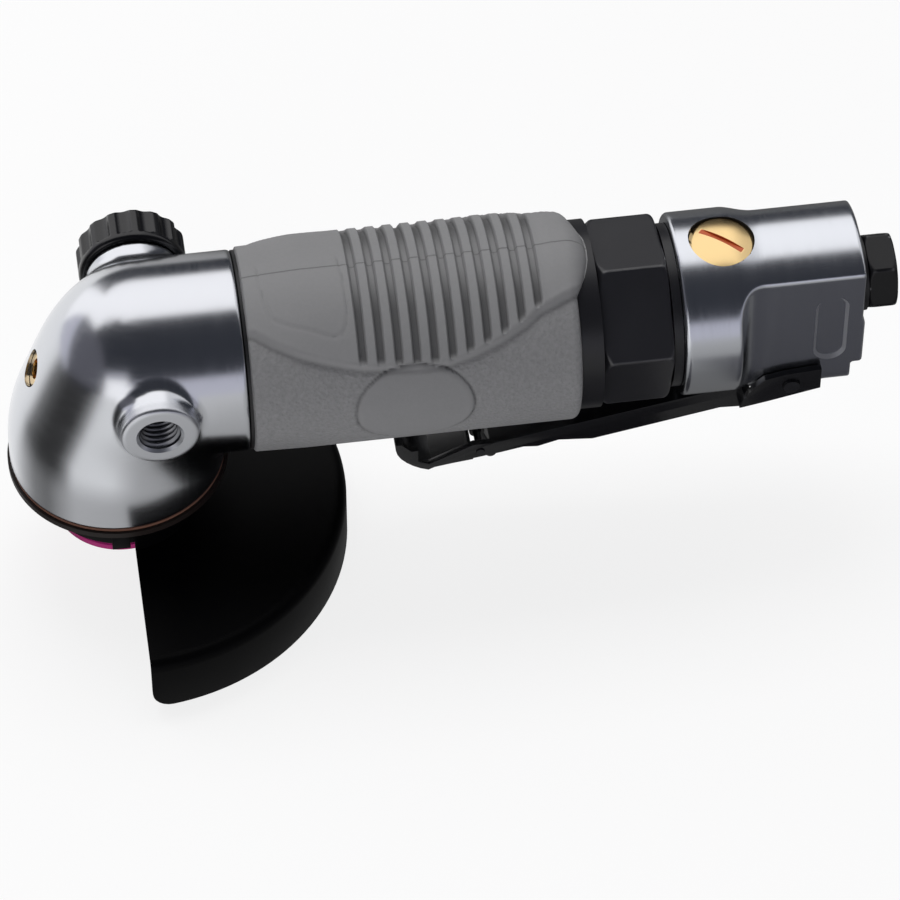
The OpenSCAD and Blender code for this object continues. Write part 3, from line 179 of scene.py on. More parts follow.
def rod(name, start, end, radius, r_end=None, sides=64):
    a, b = Vector(start) * MM, Vector(end) * MM
    clear()
    bpy.ops.mesh.primitive_cone_add(vertices=sides, radius1=radius * MM, radius2=(r_end or radius) * MM,
                                    depth=(b - a).length, location=(a + b) / 2)
    obj = bpy.context.object
    obj.name = name
    obj.rotation_mode = "QUATERNION"
    obj.rotation_quaternion = (b - a).to_track_quat("Z", "Y")
    return place(obj)


def block(name, low, high):
    low, high = Vector(low), Vector(high)
    clear()
    bpy.ops.mesh.primitive_cube_add(size=1, location=(low + high) / 2 * MM)
    obj = bpy.context.object
    obj.name = name
    obj.scale = (high - low) * MM
    return place(obj)


def combine(obj, other, how="DIFFERENCE"):
    modify(obj, "BOOLEAN", object=other, operation=how, solver="EXACT")
    bpy.data.objects.remove(other)


def join(name, parts):
    clear()
    for p in parts:
        p.select_set(True)
    bpy.context.view_layer.objects.active = parts[0]
    bpy.ops.object.join()
    parts[0].name = name
    return parts[0]


def copy_of(node, name):
    obj = nodes[node].copy()
    obj.data = nodes[node].data.copy()
    obj.name = name
    obj.parent = None
    for key in list(obj.keys()):
        del obj[key]
    bpy.context.scene.collection.objects.link(obj)
    obj.data.materials.clear()
    pick(obj)
    bpy.ops.mesh.customdata_custom_splitnormals_clear()
    edit(obj)
    bpy.ops.mesh.remove_doubles(threshold=2e-6)
    bpy.ops.mesh.dissolve_limited(angle_limit=math.radians(1.0))
    done()
    return obj


def settle(obj, body, slot, material, *replaced):
    """Gives a finished piece its material and body, and hides the solids it stands for; the slot is not used.
    """
    obj.data.materials.clear()
    obj.data.materials.append(material)
    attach(obj, body)
    if replaced:
        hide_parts(*replaced)
    tris = sum(len(p.vertices) - 2 for p in obj.data.polygons)
    print(f"{obj.name}: {tris} triangles, rides {body}")


# %% [markdown]
# ## Studio
# Polished metal shows what stands around it, so the studio is designed before the
# metal: a wide soft box above and behind, a dark ceiling in front of it, a pale
# wall behind the camera and a pale table. A world shader paints this by direction.
# Shaders are graphs, so some helpers come first, most of which add a single node.

# %% Shader helpers
def add(tree, kind, **values):
    """A new node. A name that starts with in_ sets an input, any other a property."""
    node = tree.nodes.new(kind)
    for key, value in values.items():
        if key.startswith("in_"):
            k = key[3:]
            node.inputs[int(k) if k.isdigit() else k.replace("_", " ")].default_value = value
        else:
            setattr(node, key, value)
    return node


def fill(tree, socket, value):
    """Links another node's output to the socket, or sets a number or a colour."""
    if hasattr(value, "is_linked"):
        tree.links.new(value, socket)
    else:
        socket.default_value = (*value, 1) if isinstance(value, tuple) else value


def maths(tree, operation, a, b=None, clamp=False):
    node = add(tree, "ShaderNodeMath", operation=operation, use_clamp=clamp)
    fill(tree, node.inputs[0], a)
    if b is not None:
        fill(tree, node.inputs[1], b)
    return node.outputs[0]


def mul(tree, a, b):
    return maths(tree, "MULTIPLY", a, b)


def plus(tree, a, b):
    return maths(tree, "ADD", a, b)


def ramp(tree, value, stops, smooth=False):
    node = add(tree, "ShaderNodeValToRGB")
    r = node.color_ramp
    r.interpolation = "EASE" if smooth else "LINEAR"
    while len(r.elements) > 1:
        r.elements.remove(r.elements[-1])
    for i, (pos, col) in enumerate(stops):
        e = r.elements[0] if i == 0 else r.elements.new(pos)
        e.position = pos
        e.color = (*col, 1) if isinstance(col, tuple) else (col, col, col, 1)
    tree.links.new(value, node.inputs[0])
    return node.outputs[0]


def rescale(tree, value, low, high, to_low=0.0, to_high=1.0):
    node = add(tree, "ShaderNodeMapRange", in_1=low, in_2=high, in_3=to_low, in_4=to_high)
    tree.links.new(value, node.inputs[0])
    return node.outputs[0]


def split(tree, vector):
    node = add(tree, "ShaderNodeSeparateXYZ")
    tree.links.new(vector, node.inputs[0])
    return node.outputs


def blend(tree, factor, a, b, kind="RGBA"):
    node = add(tree, "ShaderNodeMix", data_type=kind)
    for socket, value in (("Factor", factor), ("A", a), ("B", b)):
        fill(tree, node.inputs[socket], value)
    return node.outputs["Result"]


def mix_shaders(tree, factor, a, b):
    node = add(tree, "ShaderNodeMixShader")
    for socket, value in zip(node.inputs, (factor, a.outputs[0], b.outputs[0])):
        fill(tree, socket, value)
    return node


def turn_of(tree, a, b):
    """The angle of a direction: 0 to 1 stands for -180 to 180 degrees."""
    angle = maths(tree, "ARCTAN2", a, b)
    return plus(tree, mul(tree, angle, 1 / (2 * math.pi)), 0.5)


def new_material(name, rough, metallic, colour, **constants):
    mat = bpy.data.materials.new(name)
    mat.use_nodes = True
    tree = mat.node_tree
    shader = tree.nodes["Principled BSDF"]
    shader.inputs["Base Color"].default_value = (*colour, 1)
    shader.inputs["Roughness"].default_value = rough
    shader.inputs["Metallic"].default_value = metallic
    for key, value in constants.items():
        shader.inputs[key.replace("_", " ")].default_value = value
    return mat, tree, shader


# %% World, lamps and floor
world = bpy.data.worlds.new("studio")
bpy.context.scene.world = world
world.use_nodes = True
wt = world.node_tree
wt.nodes.clear()

# Angle round the tool's long axis: 0 is level towards the camera, 90 is up and
# 180 is level behind the tool. The first list is the studio straight ahead, the
# next its left wall, the darker far end of that wall, and its right wall. Each
# entry is where a band starts and the band's colour.
DARK, PALE, WHITE = (0.034, 0.037, 0.046), (0.60, 0.60, 0.68), (1.25, 1.24, 1.25)
AHEAD = [(-180, DARK), (-62, PALE), (-20, PALE), (-19, (0.2, 0.2, 0.22)), (-17, PALE), (22, DARK),
         (96, WHITE), (153, DARK)]
LEFT = [(-180, WHITE), (-118, PALE), (-24, WHITE), (26, (0.42, 0.42, 0.47)), (36, DARK), (103, WHITE)]
FAR_LEFT = [(-180, PALE), (-100, DARK), (6, (0.12, 0.12, 0.14)), (118, (0.2, 0.2, 0.22)), (140, PALE)]
RIGHT = [(-180, DARK), (-40, (0.1, 0.1, 0.12)), (0, (0.4, 0.4, 0.46)), (22, DARK),
         (95, (0.8, 0.8, 0.82)), (145, DARK)]
SOFT = 3 / 360


def band_stops(bands):
    """Stops of a colour ramp, with a soft step of 3 degrees each way between bands."""
    stops = [(0.0, bands[0][1])]
    for (_, before), (angle, after) in zip(bands, bands[1:]):
        p = (angle + 180) / 360
        stops += [(p - SOFT, before), (p + SOFT, after)]
    return stops


dx, dy, dz = split(wt, add(wt, "ShaderNodeTexCoord").outputs["Generated"])
turn = turn_of(wt, dz, mul(wt, dy, -1.0))
across = plus(wt, mul(wt, dx, 0.5), 0.5)
ahead, left, far_left, right = [ramp(wt, turn, band_stops(b)) for b in (AHEAD, LEFT, FAR_LEFT, RIGHT)]
walls = blend(wt, ramp(wt, across, [(0.0, 1.0), (0.29, 1.0), (0.36, 0.0)], True), ahead, left)
walls = blend(wt, ramp(wt, across, [(0.0, 1.0), (0.115, 1.0), (0.15, 0.0)], True), walls, far_left)
walls = blend(wt, ramp(wt, across, [(0.64, 0.0), (0.74, 1.0)], True), walls, right)
studio = add(wt, "ShaderNodeBackground")
wt.links.new(walls, studio.inputs["Color"])
white = add(wt, "ShaderNodeBackground", in_Color=(1, 1, 1, 1))
rays = add(wt, "ShaderNodeLightPath")
backdrop = mix_shaders(wt, rays.outputs["Is Camera Ray"], studio, white)
wt.links.new(backdrop.outputs[0], add(wt, "ShaderNodeOutputWorld").inputs[0])


def lamp(name, place_mm, aim_mm, size, power):
    data = bpy.data.lights.new(name, "AREA")
    data.shape = "RECTANGLE"
    data.size, data.size_y = size[0] * MM, size[1] * MM
    data.energy = power
    obj = bpy.data.objects.new(name, data)
    obj.location = Vector(place_mm) * MM
    obj.rotation_mode = "QUATERNION"
    obj.rotation_quaternion = (Vector(aim_mm) - Vector(place_mm)).to_track_quat("-Z", "Y")
    obj.visible_glossy = False
    bpy.context.scene.collection.objects.link(obj)


lamp("soft_box_above", (40, 350, 900), (70, 0, 40), (700, 400), 4.5)
lamp("fill_front", (-250, -900, 350), (70, 0, 40), (500, 400), 2.5)

FLOOR = -13.6
clear()
bpy.ops.mesh.primitive_plane_add(size=12, location=(0.08, 0, FLOOR * MM))
floor = bpy.context.object
floor.name = "floor"
paper = bpy.data.materials.new("pale_table")
paper.use_nodes = True
pt = paper.node_tree
pt.nodes.clear()
matte = add(pt, "ShaderNodeBsdfDiffuse", in_Color=(0.9, 0.9, 0.9, 1))
glow = add(pt, "ShaderNodeEmission")
lit = mix_shaders(pt, 0.82, matte, glow)

# What polished metal sees of the table is greyer: grey near the head, and further
# out a dark strip to the left and a light one in front of the tool. The entries are
# (degrees round the head, 0 towards the camera; brightness), near it and far from it.
NEAR = [(-180, 1.05), (-144, 1.05), (-114, 0.95), (-98, 0.55), (-84, 0.26), (-68, 0.17), (-56, 0.34),
        (-42, 0.52), (30, 0.44), (80, 0.25), (170, 0.25), (175, 1.05)]
FAR = [(-180, 0.5), (-165, 0.95), (-122, 1.0), (-111, 0.9), (-100, 0.22), (-90, 0.09), (-80, 0.04),
       (-60, 0.035), (-52, 0.24), (-44, 0.85), (-10, 0.9), (12, 0.5), (45, 0.4), (65, 0.2),
       (100, 0.12), (165, 0.12), (180, 0.5)]
east, north, _ = split(pt, add(pt, "ShaderNodeNewGeometry").outputs["Position"])
around = turn_of(pt, east, mul(pt, north, -1.0))
squares = [mul(pt, v, v) for v in (east, north)]
reach = maths(pt, "SQRT", plus(pt, *squares))
near_tone, far_tone = [ramp(pt, around, [((angle + 180) / 360, level) for angle, level in line])
                       for line in (NEAR, FAR)]
greyed = add(pt, "ShaderNodeEmission")
pt.links.new(blend(pt, rescale(pt, reach, 0.075, 0.125), near_tone, far_tone), greyed.inputs["Color"])
path = add(pt, "ShaderNodeLightPath").outputs
seen = maths(pt, "MAXIMUM", path["Is Camera Ray"], path["Is Transmission Ray"])
surface = mix_shaders(pt, path["Is Glossy Ray"], mix_shaders(pt, seen, matte, lit), greyed)
pt.links.new(surface.outputs[0], add(pt, "ShaderNodeOutputMaterial").inputs[0])
floor.data.materials.append(paper)

# Black cards on the table, out of sight of the camera, give the metal its dark zones.
card_black = new_material("black_card", 0.9, 0.0, (0.09, 0.09, 0.10))[0]


def card(name, x0, x1, y1):
    corners = [(x0, -150), (x1, -150), (x1, y1), (x0, y1)]
    obj = from_points(name, [(x, y, FLOOR + 0.1) for x, y in corners], (), [(0, 1, 2, 3)])
    obj.data.materials.append(card_black)
    for ray in ("visible_camera", "visible_diffuse", "visible_shadow", "visible_transmission"):
        setattr(obj, ray, False)


card("card_nut", 100, 138, -10)
card("card_rear", 157, 330, -30)
bpy.context.scene.view_settings.view_transform = "Standard"
print("studio: 2 lamps, floor at", round(floor.location.z, 4))

# %% [markdown]
# ## Finishes
# Three surface effects turn up on several materials: the fine parallel scratches
# of brushed metal, the fine grain of moulded or blackened parts, and lighter edges,
# partly wear and partly a painted highlight. Each is a node group with its own
# controls, used with other values in each material. They work on object
# coordinates, so they stay on a part when it moves.

# %% Shared effects
def group(name, inputs, outputs):
    tree = bpy.data.node_groups.new(name, "ShaderNodeTree")
    for n, kind, value in inputs:
        s = tree.interface.new_socket(name=n, in_out="INPUT", socket_type=kind)
        if value is not None:
            s.default_value = value
    for n, kind in outputs:
        tree.interface.new_socket(name=n, in_out="OUTPUT", socket_type=kind)
    return tree, add(tree, "NodeGroupInput"), add(tree, "NodeGroupOutput")


def noise(tree, vector, scale, detail=2.0, rough=0.5):
    n = add(tree, "ShaderNodeTexNoise", in_Scale=scale, in_Detail=detail, in_Roughness=rough)
    tree.links.new(vector, n.inputs["Vector"])
    return n


def stretched(tree, vector, scale):
    m = add(tree, "ShaderNodeVectorMath", operation="MULTIPLY")
    tree.links.new(vector, m.inputs[0])
    m.inputs[1].default_value = scale
    return m.outputs[0]


brushed, gi, go = group("brushed_lines",
                        [("Vector", "NodeSocketVector", None), ("Strength", "NodeSocketFloat", 0.5)],
                        [("Height", "NodeSocketFloat"), ("Shine", "NodeSocketFloat")])
fine = noise(brushed, gi.outputs["Vector"], 1.0, 3.0, 0.6)
broad = noise(brushed, gi.outputs["Vector"], 0.21, 2.0, 0.5)
mixed = plus(brushed, mul(brushed, fine.outputs["Fac"], 0.65), mul(brushed, broad.outputs["Fac"], 0.35))
brushed.links.new(mul(brushed, mixed, gi.outputs["Strength"]), go.inputs["Height"])
brushed.links.new(mixed, go.inputs["Shine"])

grain, gi, go = group("fine_grain",
                      [("Scale", "NodeSocketFloat", 1000.0), ("Strength", "NodeSocketFloat", 0.5)],
                      [(name, "NodeSocketFloat") for name in ("Height", "Cloud", "Specks")])
at = add(grain, "ShaderNodeTexCoord").outputs["Object"]
dots = add(grain, "ShaderNodeTexVoronoi", feature="SMOOTH_F1", in_Smoothness=0.6)
grain.links.new(at, dots.inputs["Vector"])
grain.links.new(gi.outputs["Scale"], dots.inputs["Scale"])
specks = add(grain, "ShaderNodeTexNoise", in_Detail=2.0)
grain.links.new(at, specks.inputs["Vector"])
grain.links.new(mul(grain, gi.outputs["Scale"], 0.8), specks.inputs["Scale"])
bumps = plus(grain, mul(grain, dots.outputs["Distance"], 0.6), specks.outputs["Fac"])
grain.links.new(mul(grain, bumps, gi.outputs["Strength"]), go.inputs["Height"])
cloud = noise(grain, at, 55.0, 4.0, 0.55)
grain.links.new(cloud.outputs["Fac"], go.inputs["Cloud"])
grain.links.new(specks.outputs["Fac"], go.inputs["Specks"])

# Edges are painted lighter: partly bare steel where they wear, partly a painted highlight where light catches
# them.
wear_and_glint, gi, go = group("edge_wear_and_glint", [("Amount", "NodeSocketFloat", 0.5)], [("Mask", "NodeSocketFloat")])
geo = add(wear_and_glint, "ShaderNodeNewGeometry")
edge = ramp(wear_and_glint, geo.outputs["Pointiness"], [(0.0, 0.0), (0.53, 0.0), (0.6, 1.0)])
spots = noise(wear_and_glint, add(wear_and_glint, "ShaderNodeTexCoord").outputs["Object"], 420.0, 3.0, 0.6)
broken = ramp(wear_and_glint, spots.outputs["Fac"], [(0.0, 0.35), (0.42, 0.35), (0.62, 1.0)])
mask = mul(wear_and_glint, mul(wear_and_glint, edge, broken), gi.outputs["Amount"])
wear_and_glint.links.new(mask, go.inputs["Mask"])


def use(tree, node_group, **values):
    node = add(tree, "ShaderNodeGroup", node_tree=node_group)
    for key, value in values.items():
        fill(tree, node.inputs[key], value)
    return node.outputs


def bump(tree, shader, height, distance):
    node = add(tree, "ShaderNodeBump", in_Strength=1.0, in_Distance=distance)
    tree.links.new(height, node.inputs["Height"])
    tree.links.new(node.outputs[0], shader.inputs["Normal"])


def spread(tree, value, low, high):
    """Noise stays near 0.5, so its middle range is spread from low to high."""
    return rescale(tree, value, 0.3, 0.7, low, high)


def times(colour, factor):
    return tuple(c * factor for c in colour)


print("effects:", brushed.name, grain.name, wear_and_glint.name)

# %% [markdown]
# Brushed metal shows scratches that follow the way the part was polished: round a
# turned part, or along a flat one. The direction comes from stretching the noise:
# a large number makes it fine that way, a small one makes it long.

# %% Metals
def brushed_metal(name, colour, stretch, rough, strength, dark=0.93, other=None):
    """other: a second direction of the lines, for the dome, where x is less than
    about 6 mm. With it, the handle boss is satin, and towards the casting's foot the
    lines fade and the metal gets a little rougher."""
    mat, tree, shader = new_material(name, rough, 1.0, colour)
    at = add(tree, "ShaderNodeTexCoord").outputs["Object"]
    lines = use(tree, brushed, Vector=stretched(tree, at, stretch), Strength=strength)
    height, shine = lines["Height"], lines["Shine"]
    if other:
        second = use(tree, brushed, Vector=stretched(tree, at, other), Strength=strength)
        x, y, z = split(tree, at)
        side = rescale(tree, x, 6 * MM, 16 * MM)
        height, shine = [blend(tree, side, second[key], lines[key], "FLOAT") for key in ("Height", "Shine")]
    rough_of = spread(tree, shine, rough * 0.85, rough * 1.2)
    tint = blend(tree, shine, times(colour, dark), colour)
    if other:
        boss = maths(tree, "SUBTRACT", -24.4, mul(tree, y, 1000.0), True)
        boss = mul(tree, boss, maths(tree, "GREATER_THAN", z, 0.043))
        foot = rescale(tree, z, 0.042, 0.026)
        dull = plus(tree, mul(tree, boss, 0.16), mul(tree, foot, 0.03))
        rough_of = plus(tree, rough_of, dull)
        height = mul(tree, height, maths(tree, "SUBTRACT", 1.0, foot))
    tree.links.new(rough_of, shader.inputs["Roughness"])
    tree.links.new(tint, shader.inputs["Base Color"])
    bump(tree, shader, height, 6e-6)
    return mat


cast_polished = brushed_metal("polished_casting", (0.70, 0.715, 0.75), (2600, 160, 160), 0.2, 0.22,
                              other=(220, 220, 1600))
housing_metal = brushed_metal("brushed_casting", (0.68, 0.70, 0.74), (3600, 90, 90), 0.225, 0.07, 0.98)
steel = brushed_metal("ground_steel", (0.56, 0.57, 0.59), (900, 900, 4000), 0.3, 0.5)
brass = brushed_metal("turned_brass", (0.86, 0.63, 0.31), (400, 400, 400), 0.2, 0.1)
# The thread in the head's port is the casting's metal painted much darker, as painted shade inside the bore.
shaded_thread_metal = brushed_metal("shaded_thread", (0.22, 0.225, 0.24), (900, 900, 900), 0.3, 0.3)
slot_red = new_material("locking_lacquer", 0.4, 0.0, (0.5, 0.09, 0.02))[0]
gap_dark = new_material("gap_shadow", 0.7, 0.0, (0.01, 0.009, 0.008))[0]
# A lighter, duller grey for the sloping rim of the recess: a painted highlight that outlines it.
recess_rim_highlight = new_material("recess_rim_highlight", 0.45, 0.4, (0.27, 0.275, 0.295))[0]
print("materials:", len(bpy.data.materials))

# %% [markdown]
# Blackened steel and lacquered sheet are nearly black, but a soft sheen and lighter
# edges keep their shape readable. The edge mask mixes in a lighter grey: partly bare
# steel where the edges wear, partly a painted highlight along them.

# %% Blacks
def black_finish(name, colour, rough, wear_and_glint_amount=0.0, grain_size=2500.0, strength=0.3, specular=0.5, edge_grey=0.2):
    mat, tree, shader = new_material(name, rough, 0.0, colour, Specular_IOR_Level=specular)
    g = use(tree, grain, Scale=grain_size, Strength=strength)
    w = use(tree, wear_and_glint, Amount=wear_and_glint_amount)
    base = blend(tree, g["Cloud"], times(colour, 0.85), times(colour, 1.15))
    # The lighter edge colour is partly wear and partly a painted highlight.
    base = blend(tree, w["Mask"], base, (edge_grey, edge_grey, edge_grey * 1.04))
    tree.links.new(base, shader.inputs["Base Color"])
    tree.links.new(spread(tree, g["Cloud"], rough * 0.93, rough * 1.08), shader.inputs["Roughness"])
    bump(tree, shader, g["Height"], 2e-5)
    return mat


blackened = black_finish("blackened_steel", (0.010, 0.010, 0.012), 0.36)
nut_black = black_finish("nut_finish", (0.011, 0.011, 0.0135), 0.33, 0.9, specular=0.75, edge_grey=0.3)
bushing_black = black_finish("bushing_finish", (0.004, 0.004, 0.005), 0.3, 1.0, specular=0.35, edge_grey=0.22)
guard_black = black_finish("guard_lacquer", (0.0012, 0.0012, 0.0014), 0.42, 0.25, 1600.0, 0.2, 0.06, 0.02)
lever_black = black_finish("lever_lacquer", (0.004, 0.004, 0.005), 0.24, 0.0, 1800.0, 0.12, 0.75, 0.2)
knob_plastic = black_finish("knob_plastic", (0.004, 0.004, 0.005), 0.24, 0.5, 2200.0, 0.2, 0.55, 0.1)
print("materials:", len(bpy.data.materials))

# %% [markdown]
# The grip is a mid-grey rubber. Its lower zone has a fine stipple and its pad is
# smooth, which an attribute of the mesh tells the shader. A second attribute paints
# shade into the grooves, darker away from the top, and into the creases, and the
# parting line on top is drawn by the shader alone.

# %% Rubber, fibre and the rest
rubber, rt, rs = new_material("grip_rubber", 0.6, 0.0, (0.17, 0.17, 0.172), Specular_IOR_Level=0.35)
rg = use(rt, grain, Scale=1350.0, Strength=1.0)
zone = add(rt, "ShaderNodeAttribute", attribute_name="stipple").outputs["Fac"]
relief = mul(rt, rg["Height"], plus(rt, mul(rt, zone, 0.9), 0.1))
_, seam_y, seam_z = split(rt, add(rt, "ShaderNodeTexCoord").outputs["Object"])
seam = maths(rt, "ABSOLUTE", maths(rt, "SUBTRACT", seam_y, 0.0002))
seam = maths(rt, "SUBTRACT", 1.5, mul(rt, seam, 6000.0), True)
seam = mul(rt, seam, maths(rt, "GREATER_THAN", seam_z, AXIS * MM))
bump(rt, rs, maths(rt, "SUBTRACT", relief, mul(rt, seam, 0.4)), 2.4e-4)
smooth_tone = blend(rt, rg["Cloud"], (0.205, 0.205, 0.207), (0.235, 0.235, 0.238))
speck_tone = blend(rt, rg["Specks"], (0.13, 0.13, 0.132), (0.30, 0.30, 0.303))
tone = blend(rt, plus(rt, mul(rt, zone, 0.45), 0.1), smooth_tone, speck_tone)
# Painted shade in the grooves and creases, from the second attribute, darkens the colour here.
groove_shade = add(rt, "ShaderNodeAttribute", attribute_name="groove_shade").outputs["Fac"]
darker = maths(rt, "MAXIMUM", mul(rt, seam, 0.35), groove_shade)
rt.links.new(blend(rt, darker, tone, (0.03, 0.03, 0.031)), rs.inputs["Base Color"])
rt.links.new(spread(rt, rg["Cloud"], 0.5, 0.66), rs.inputs["Roughness"])


def plain_finish(name, colour, rough, metallic=0.0, scale=1500.0, strength=0.4, **constants):
    mat, tree, shader = new_material(name, rough, metallic, colour, **constants)
    g = use(tree, grain, Scale=scale, Strength=strength)
    base = blend(tree, g["Cloud"], times(colour, 0.8), times(colour, 1.2))
    tree.links.new(base, shader.inputs["Base Color"])
    tree.links.new(spread(tree, g["Cloud"], rough * 0.85, rough * 1.15), shader.inputs["Roughness"])
    bump(tree, shader, g["Height"], 3e-5)
    return mat


seal = plain_finish("seal_rubber", (0.012, 0.012, 0.013), 0.5)
cap_brown = plain_finish("cap_oxide", (0.012, 0.008, 0.007), 0.45, Specular_IOR_Level=0.25)
fibre = plain_finish("gasket_fibre", (0.16, 0.075, 0.05), 0.7, scale=1100.0)
magenta = plain_finish("magenta_anodised", (0.5, 0.02, 0.2), 0.3, 0.55, strength=0.2)
phenolic = plain_finish("phenolic", (0.12, 0.06, 0.03), 0.6)
felt = plain_finish("felt", (0.5, 0.49, 0.44), 0.95, scale=900.0, strength=1.0)

FINISH = {"cast_aluminium": cast_polished, "steel": steel, "blackened": blackened,
          "grip_rubber": rubber, "brass": brass, "fibre": fibre, "seal": seal, "magenta": magenta,
          "phenolic": phenolic, "felt": felt}
for part in frame["record"]["subparts"]:
    data = nodes[part["node"]].data
    data.materials.clear()
    data.materials.append(FINISH[part["material_slot"]])
print("finishes:", len(FINISH))

# %% [markdown]
# ## Head casting
# The head is one casting: a dome over the gears, a barrel over the motor's nose and
# a boss for the side handle. On the real part the dome and the barrel flow into
# each other, which no single primitive gives. So rough primitives are joined and
# remeshed into one skin, and each vertex is then moved onto a smooth surface that
# is written as a distance: zero on the skin, negative inside. A soft minimum of the
# dome's and the barrel's distance makes the fillet between them.

# %% Soft joins and a skin that settles on a distance
def soft_min(a, b, k):
    h = np.maximum(k - np.abs(a - b), 0) / k
    return np.minimum(a, b) - h * h * k / 4


def soft_max(a, b, k):
    return -soft_min(-a, -b, k)


def post(u, v, r, low, high, edge):
    """Distance to a post of radius r about u = 0, from v = low to v = high."""
    q1, q2 = u - r + edge, np.abs(v - (low + high) / 2) - (high - low) / 2 + edge
    return np.minimum(np.maximum(q1, q2), 0) + np.hypot(np.maximum(q1, 0), np.maximum(q2, 0)) - edge


def points_of(obj):
    flat = np.empty(len(obj.data.vertices) * 3)
    obj.data.vertices.foreach_get("co", flat)
    return flat.reshape(-1, 3)


def settle_skin(obj, distance, voxel, rounds):
    """Makes one skin of the primitives. In each round it is relaxed a little and each
    vertex then moves along the slope onto zero."""
    modify(obj, "REMESH", mode="VOXEL", voxel_size=voxel * MM)
    count = len(obj.data.vertices)
    steps = np.eye(3) * 0.01
    for i in range(rounds):
        if i:
            edit(obj)
            bpy.ops.mesh.vertices_smooth(factor=0.5, repeat=2)
            done()
        p = points_of(obj) / MM
        for _ in range(5):
            f = distance(p)
            g = np.stack([(distance(p + d) - distance(p - d)) / 0.02 for d in steps], axis=1)
            p -= (np.clip(f, -0.8, 0.8) / np.maximum((g * g).sum(1), 0.3))[:, None] * g
        obj.data.vertices.foreach_set("co", (p * MM).ravel())
        obj.data.update()
    f = np.abs(distance(p))
    print(f"{obj.name}: {count} vertices, off the surface by {f.mean():.3f} mm, {f.max():.2f} at most")


# %% Head: rough primitives, one skin
# In millimetres: the dome, the barrel with its round nose, and the bosses of the
# handle port and of the port that the knob closes.
DOME_R, DOME_FOOT, DOME_ARC = 26.3, 25, 50
BARREL_R, NOSE_X = 24.2, 7.8
PORT_X, PORT_Z, PORT_R, PORT_FACE = 9.1, 54.5, 9.4, -27.7
KNOB_X, KNOB_R, KNOB_FACE = 8, 11.8, 24.3


def dome_r(z):
    """Radius of the dome, whose side is an arc above its foot."""
    return DOME_R - DOME_ARC + math.sqrt(DOME_ARC ** 2 - (z - DOME_FOOT) ** 2)


def head_distance(p):
    x, y, z = p.T
    out = np.hypot(x, y)
    arc = np.hypot(out + (DOME_ARC - DOME_R), z - DOME_FOOT) - DOME_ARC
    dome = np.where(z > DOME_FOOT, arc, out - DOME_R)
    r = np.hypot(y, z - AXIS)
    barrel = np.where(x > NOSE_X, post(r, x, BARREL_R, -40, 31, 1.2), np.hypot(x - NOSE_X, r) - BARREL_R)
    body = soft_min(dome, barrel, 7)
    near = np.where(y < 0, post(np.hypot(x - PORT_X, z - PORT_Z), y, PORT_R, PORT_FACE, 10, 1.1), 99)
    far = np.where(y > 0, post(np.hypot(x - KNOB_X, z - PORT_Z), y, KNOB_R, -10, KNOB_FACE, 0.5), 99)
    body = soft_min(soft_min(body, near, 2.2), far, 2.0)
    return soft_max(body, 20 - z, 0.9)


clear()
bpy.ops.mesh.primitive_uv_sphere_add(segments=64, ring_count=32, radius=BARREL_R * MM,
                                     location=(NOSE_X * MM, 0, AXIS * MM))
ball = place(bpy.context.object)
heights = [DOME_FOOT + 44 * t for t in (0.1, 0.2, 0.3, 0.4, 0.5, 0.6, 0.7, 0.8, 0.9, 0.96)]
side = [(20, 0), (20, DOME_R), (DOME_FOOT, DOME_R)] + [(z, dome_r(z)) for z in heights] + [(69, 0)]
head = join("head", [
    turned("dome", side, 0),
    ball,
    rod("barrel", (NOSE_X, 0, AXIS), (31, 0, AXIS), BARREL_R, sides=96),
    rod("near", (PORT_X, 0, PORT_Z), (PORT_X, PORT_FACE, PORT_Z), PORT_R),
    rod("far", (KNOB_X, 0, PORT_Z), (KNOB_X, KNOB_FACE, PORT_Z), KNOB_R)])
settle_skin(head, head_distance, 0.5, 3)

# %% [markdown]
# The bores are cut last, so their rims stay sharp. Each cutter is a rod or a cone
# at its real place: the gear room, the motor's seat, the two handle ports, the near
# one with a small lead-in, the grease fitting's recess and the cap's screw holes.

# %% Head: bores
def cut(obj, *cutters):
    for c in cutters:
        modify(obj, "BOOLEAN", object=c, operation="DIFFERENCE", solver="MANIFOLD")
        bpy.data.objects.remove(c)


fitting_at = Vector((-dome_r(52), 0, 52))
tilt = math.radians(-69)
fitting_out = Vector((math.sin(tilt), 0, math.cos(tilt)))
SCREW_CIRCLE = 23.1
screws = [(SCREW_CIRCLE * math.cos(math.radians(a)), SCREW_CIRCLE * math.sin(math.radians(a)))
          for a in (45, 135, 225, 315)]
cut(head, rod("c", (0, 0, 18), (0, 0, 24.3), 20.6, sides=96),
    rod("c", (0, 0, 19), (0, 0, 47), 19.9, sides=96),
    rod("c", (0, 0, 46), (0, 0, 62), 10),
    rod("c", (20.4, 0, AXIS), (33, 0, AXIS), 20.6, sides=96),
    rod("c", (7.5, 0, AXIS), (31, 0, AXIS), 14.6, sides=96),
    rod("c", (PORT_X, -28.7, PORT_Z), (PORT_X, -15.7, PORT_Z), 5.02),
    rod("c", (PORT_X, -27.75, PORT_Z), (PORT_X, -26.9, PORT_Z), 5.75, 4.9),
    rod("c", (KNOB_X, 16.3, PORT_Z), (KNOB_X, 26, PORT_Z), 5.02),
    rod("c", (0, 0, 50), (0, 0, 69), 6.05),
    rod("c", fitting_at - fitting_out * 1.6, fitting_at + fitting_out * 6, 4.6),
    rod("c", fitting_at - fitting_out * 9, fitting_at, 3.02))
cut(head, *[rod("c", (x, y, 15), (x, y, 33), 1.67, sides=24) for x, y in screws])
shade(head, 40)
settle(head, "tool", "cast_aluminium", cast_polished, "gear_housing")

# %% [markdown]
# The handle port has a real screw thread. A grid is rolled up into a tube and its
# radius follows the angle and the depth together, which winds the ridge into a
# screw. A solidify modifier gives the lining a hidden back.

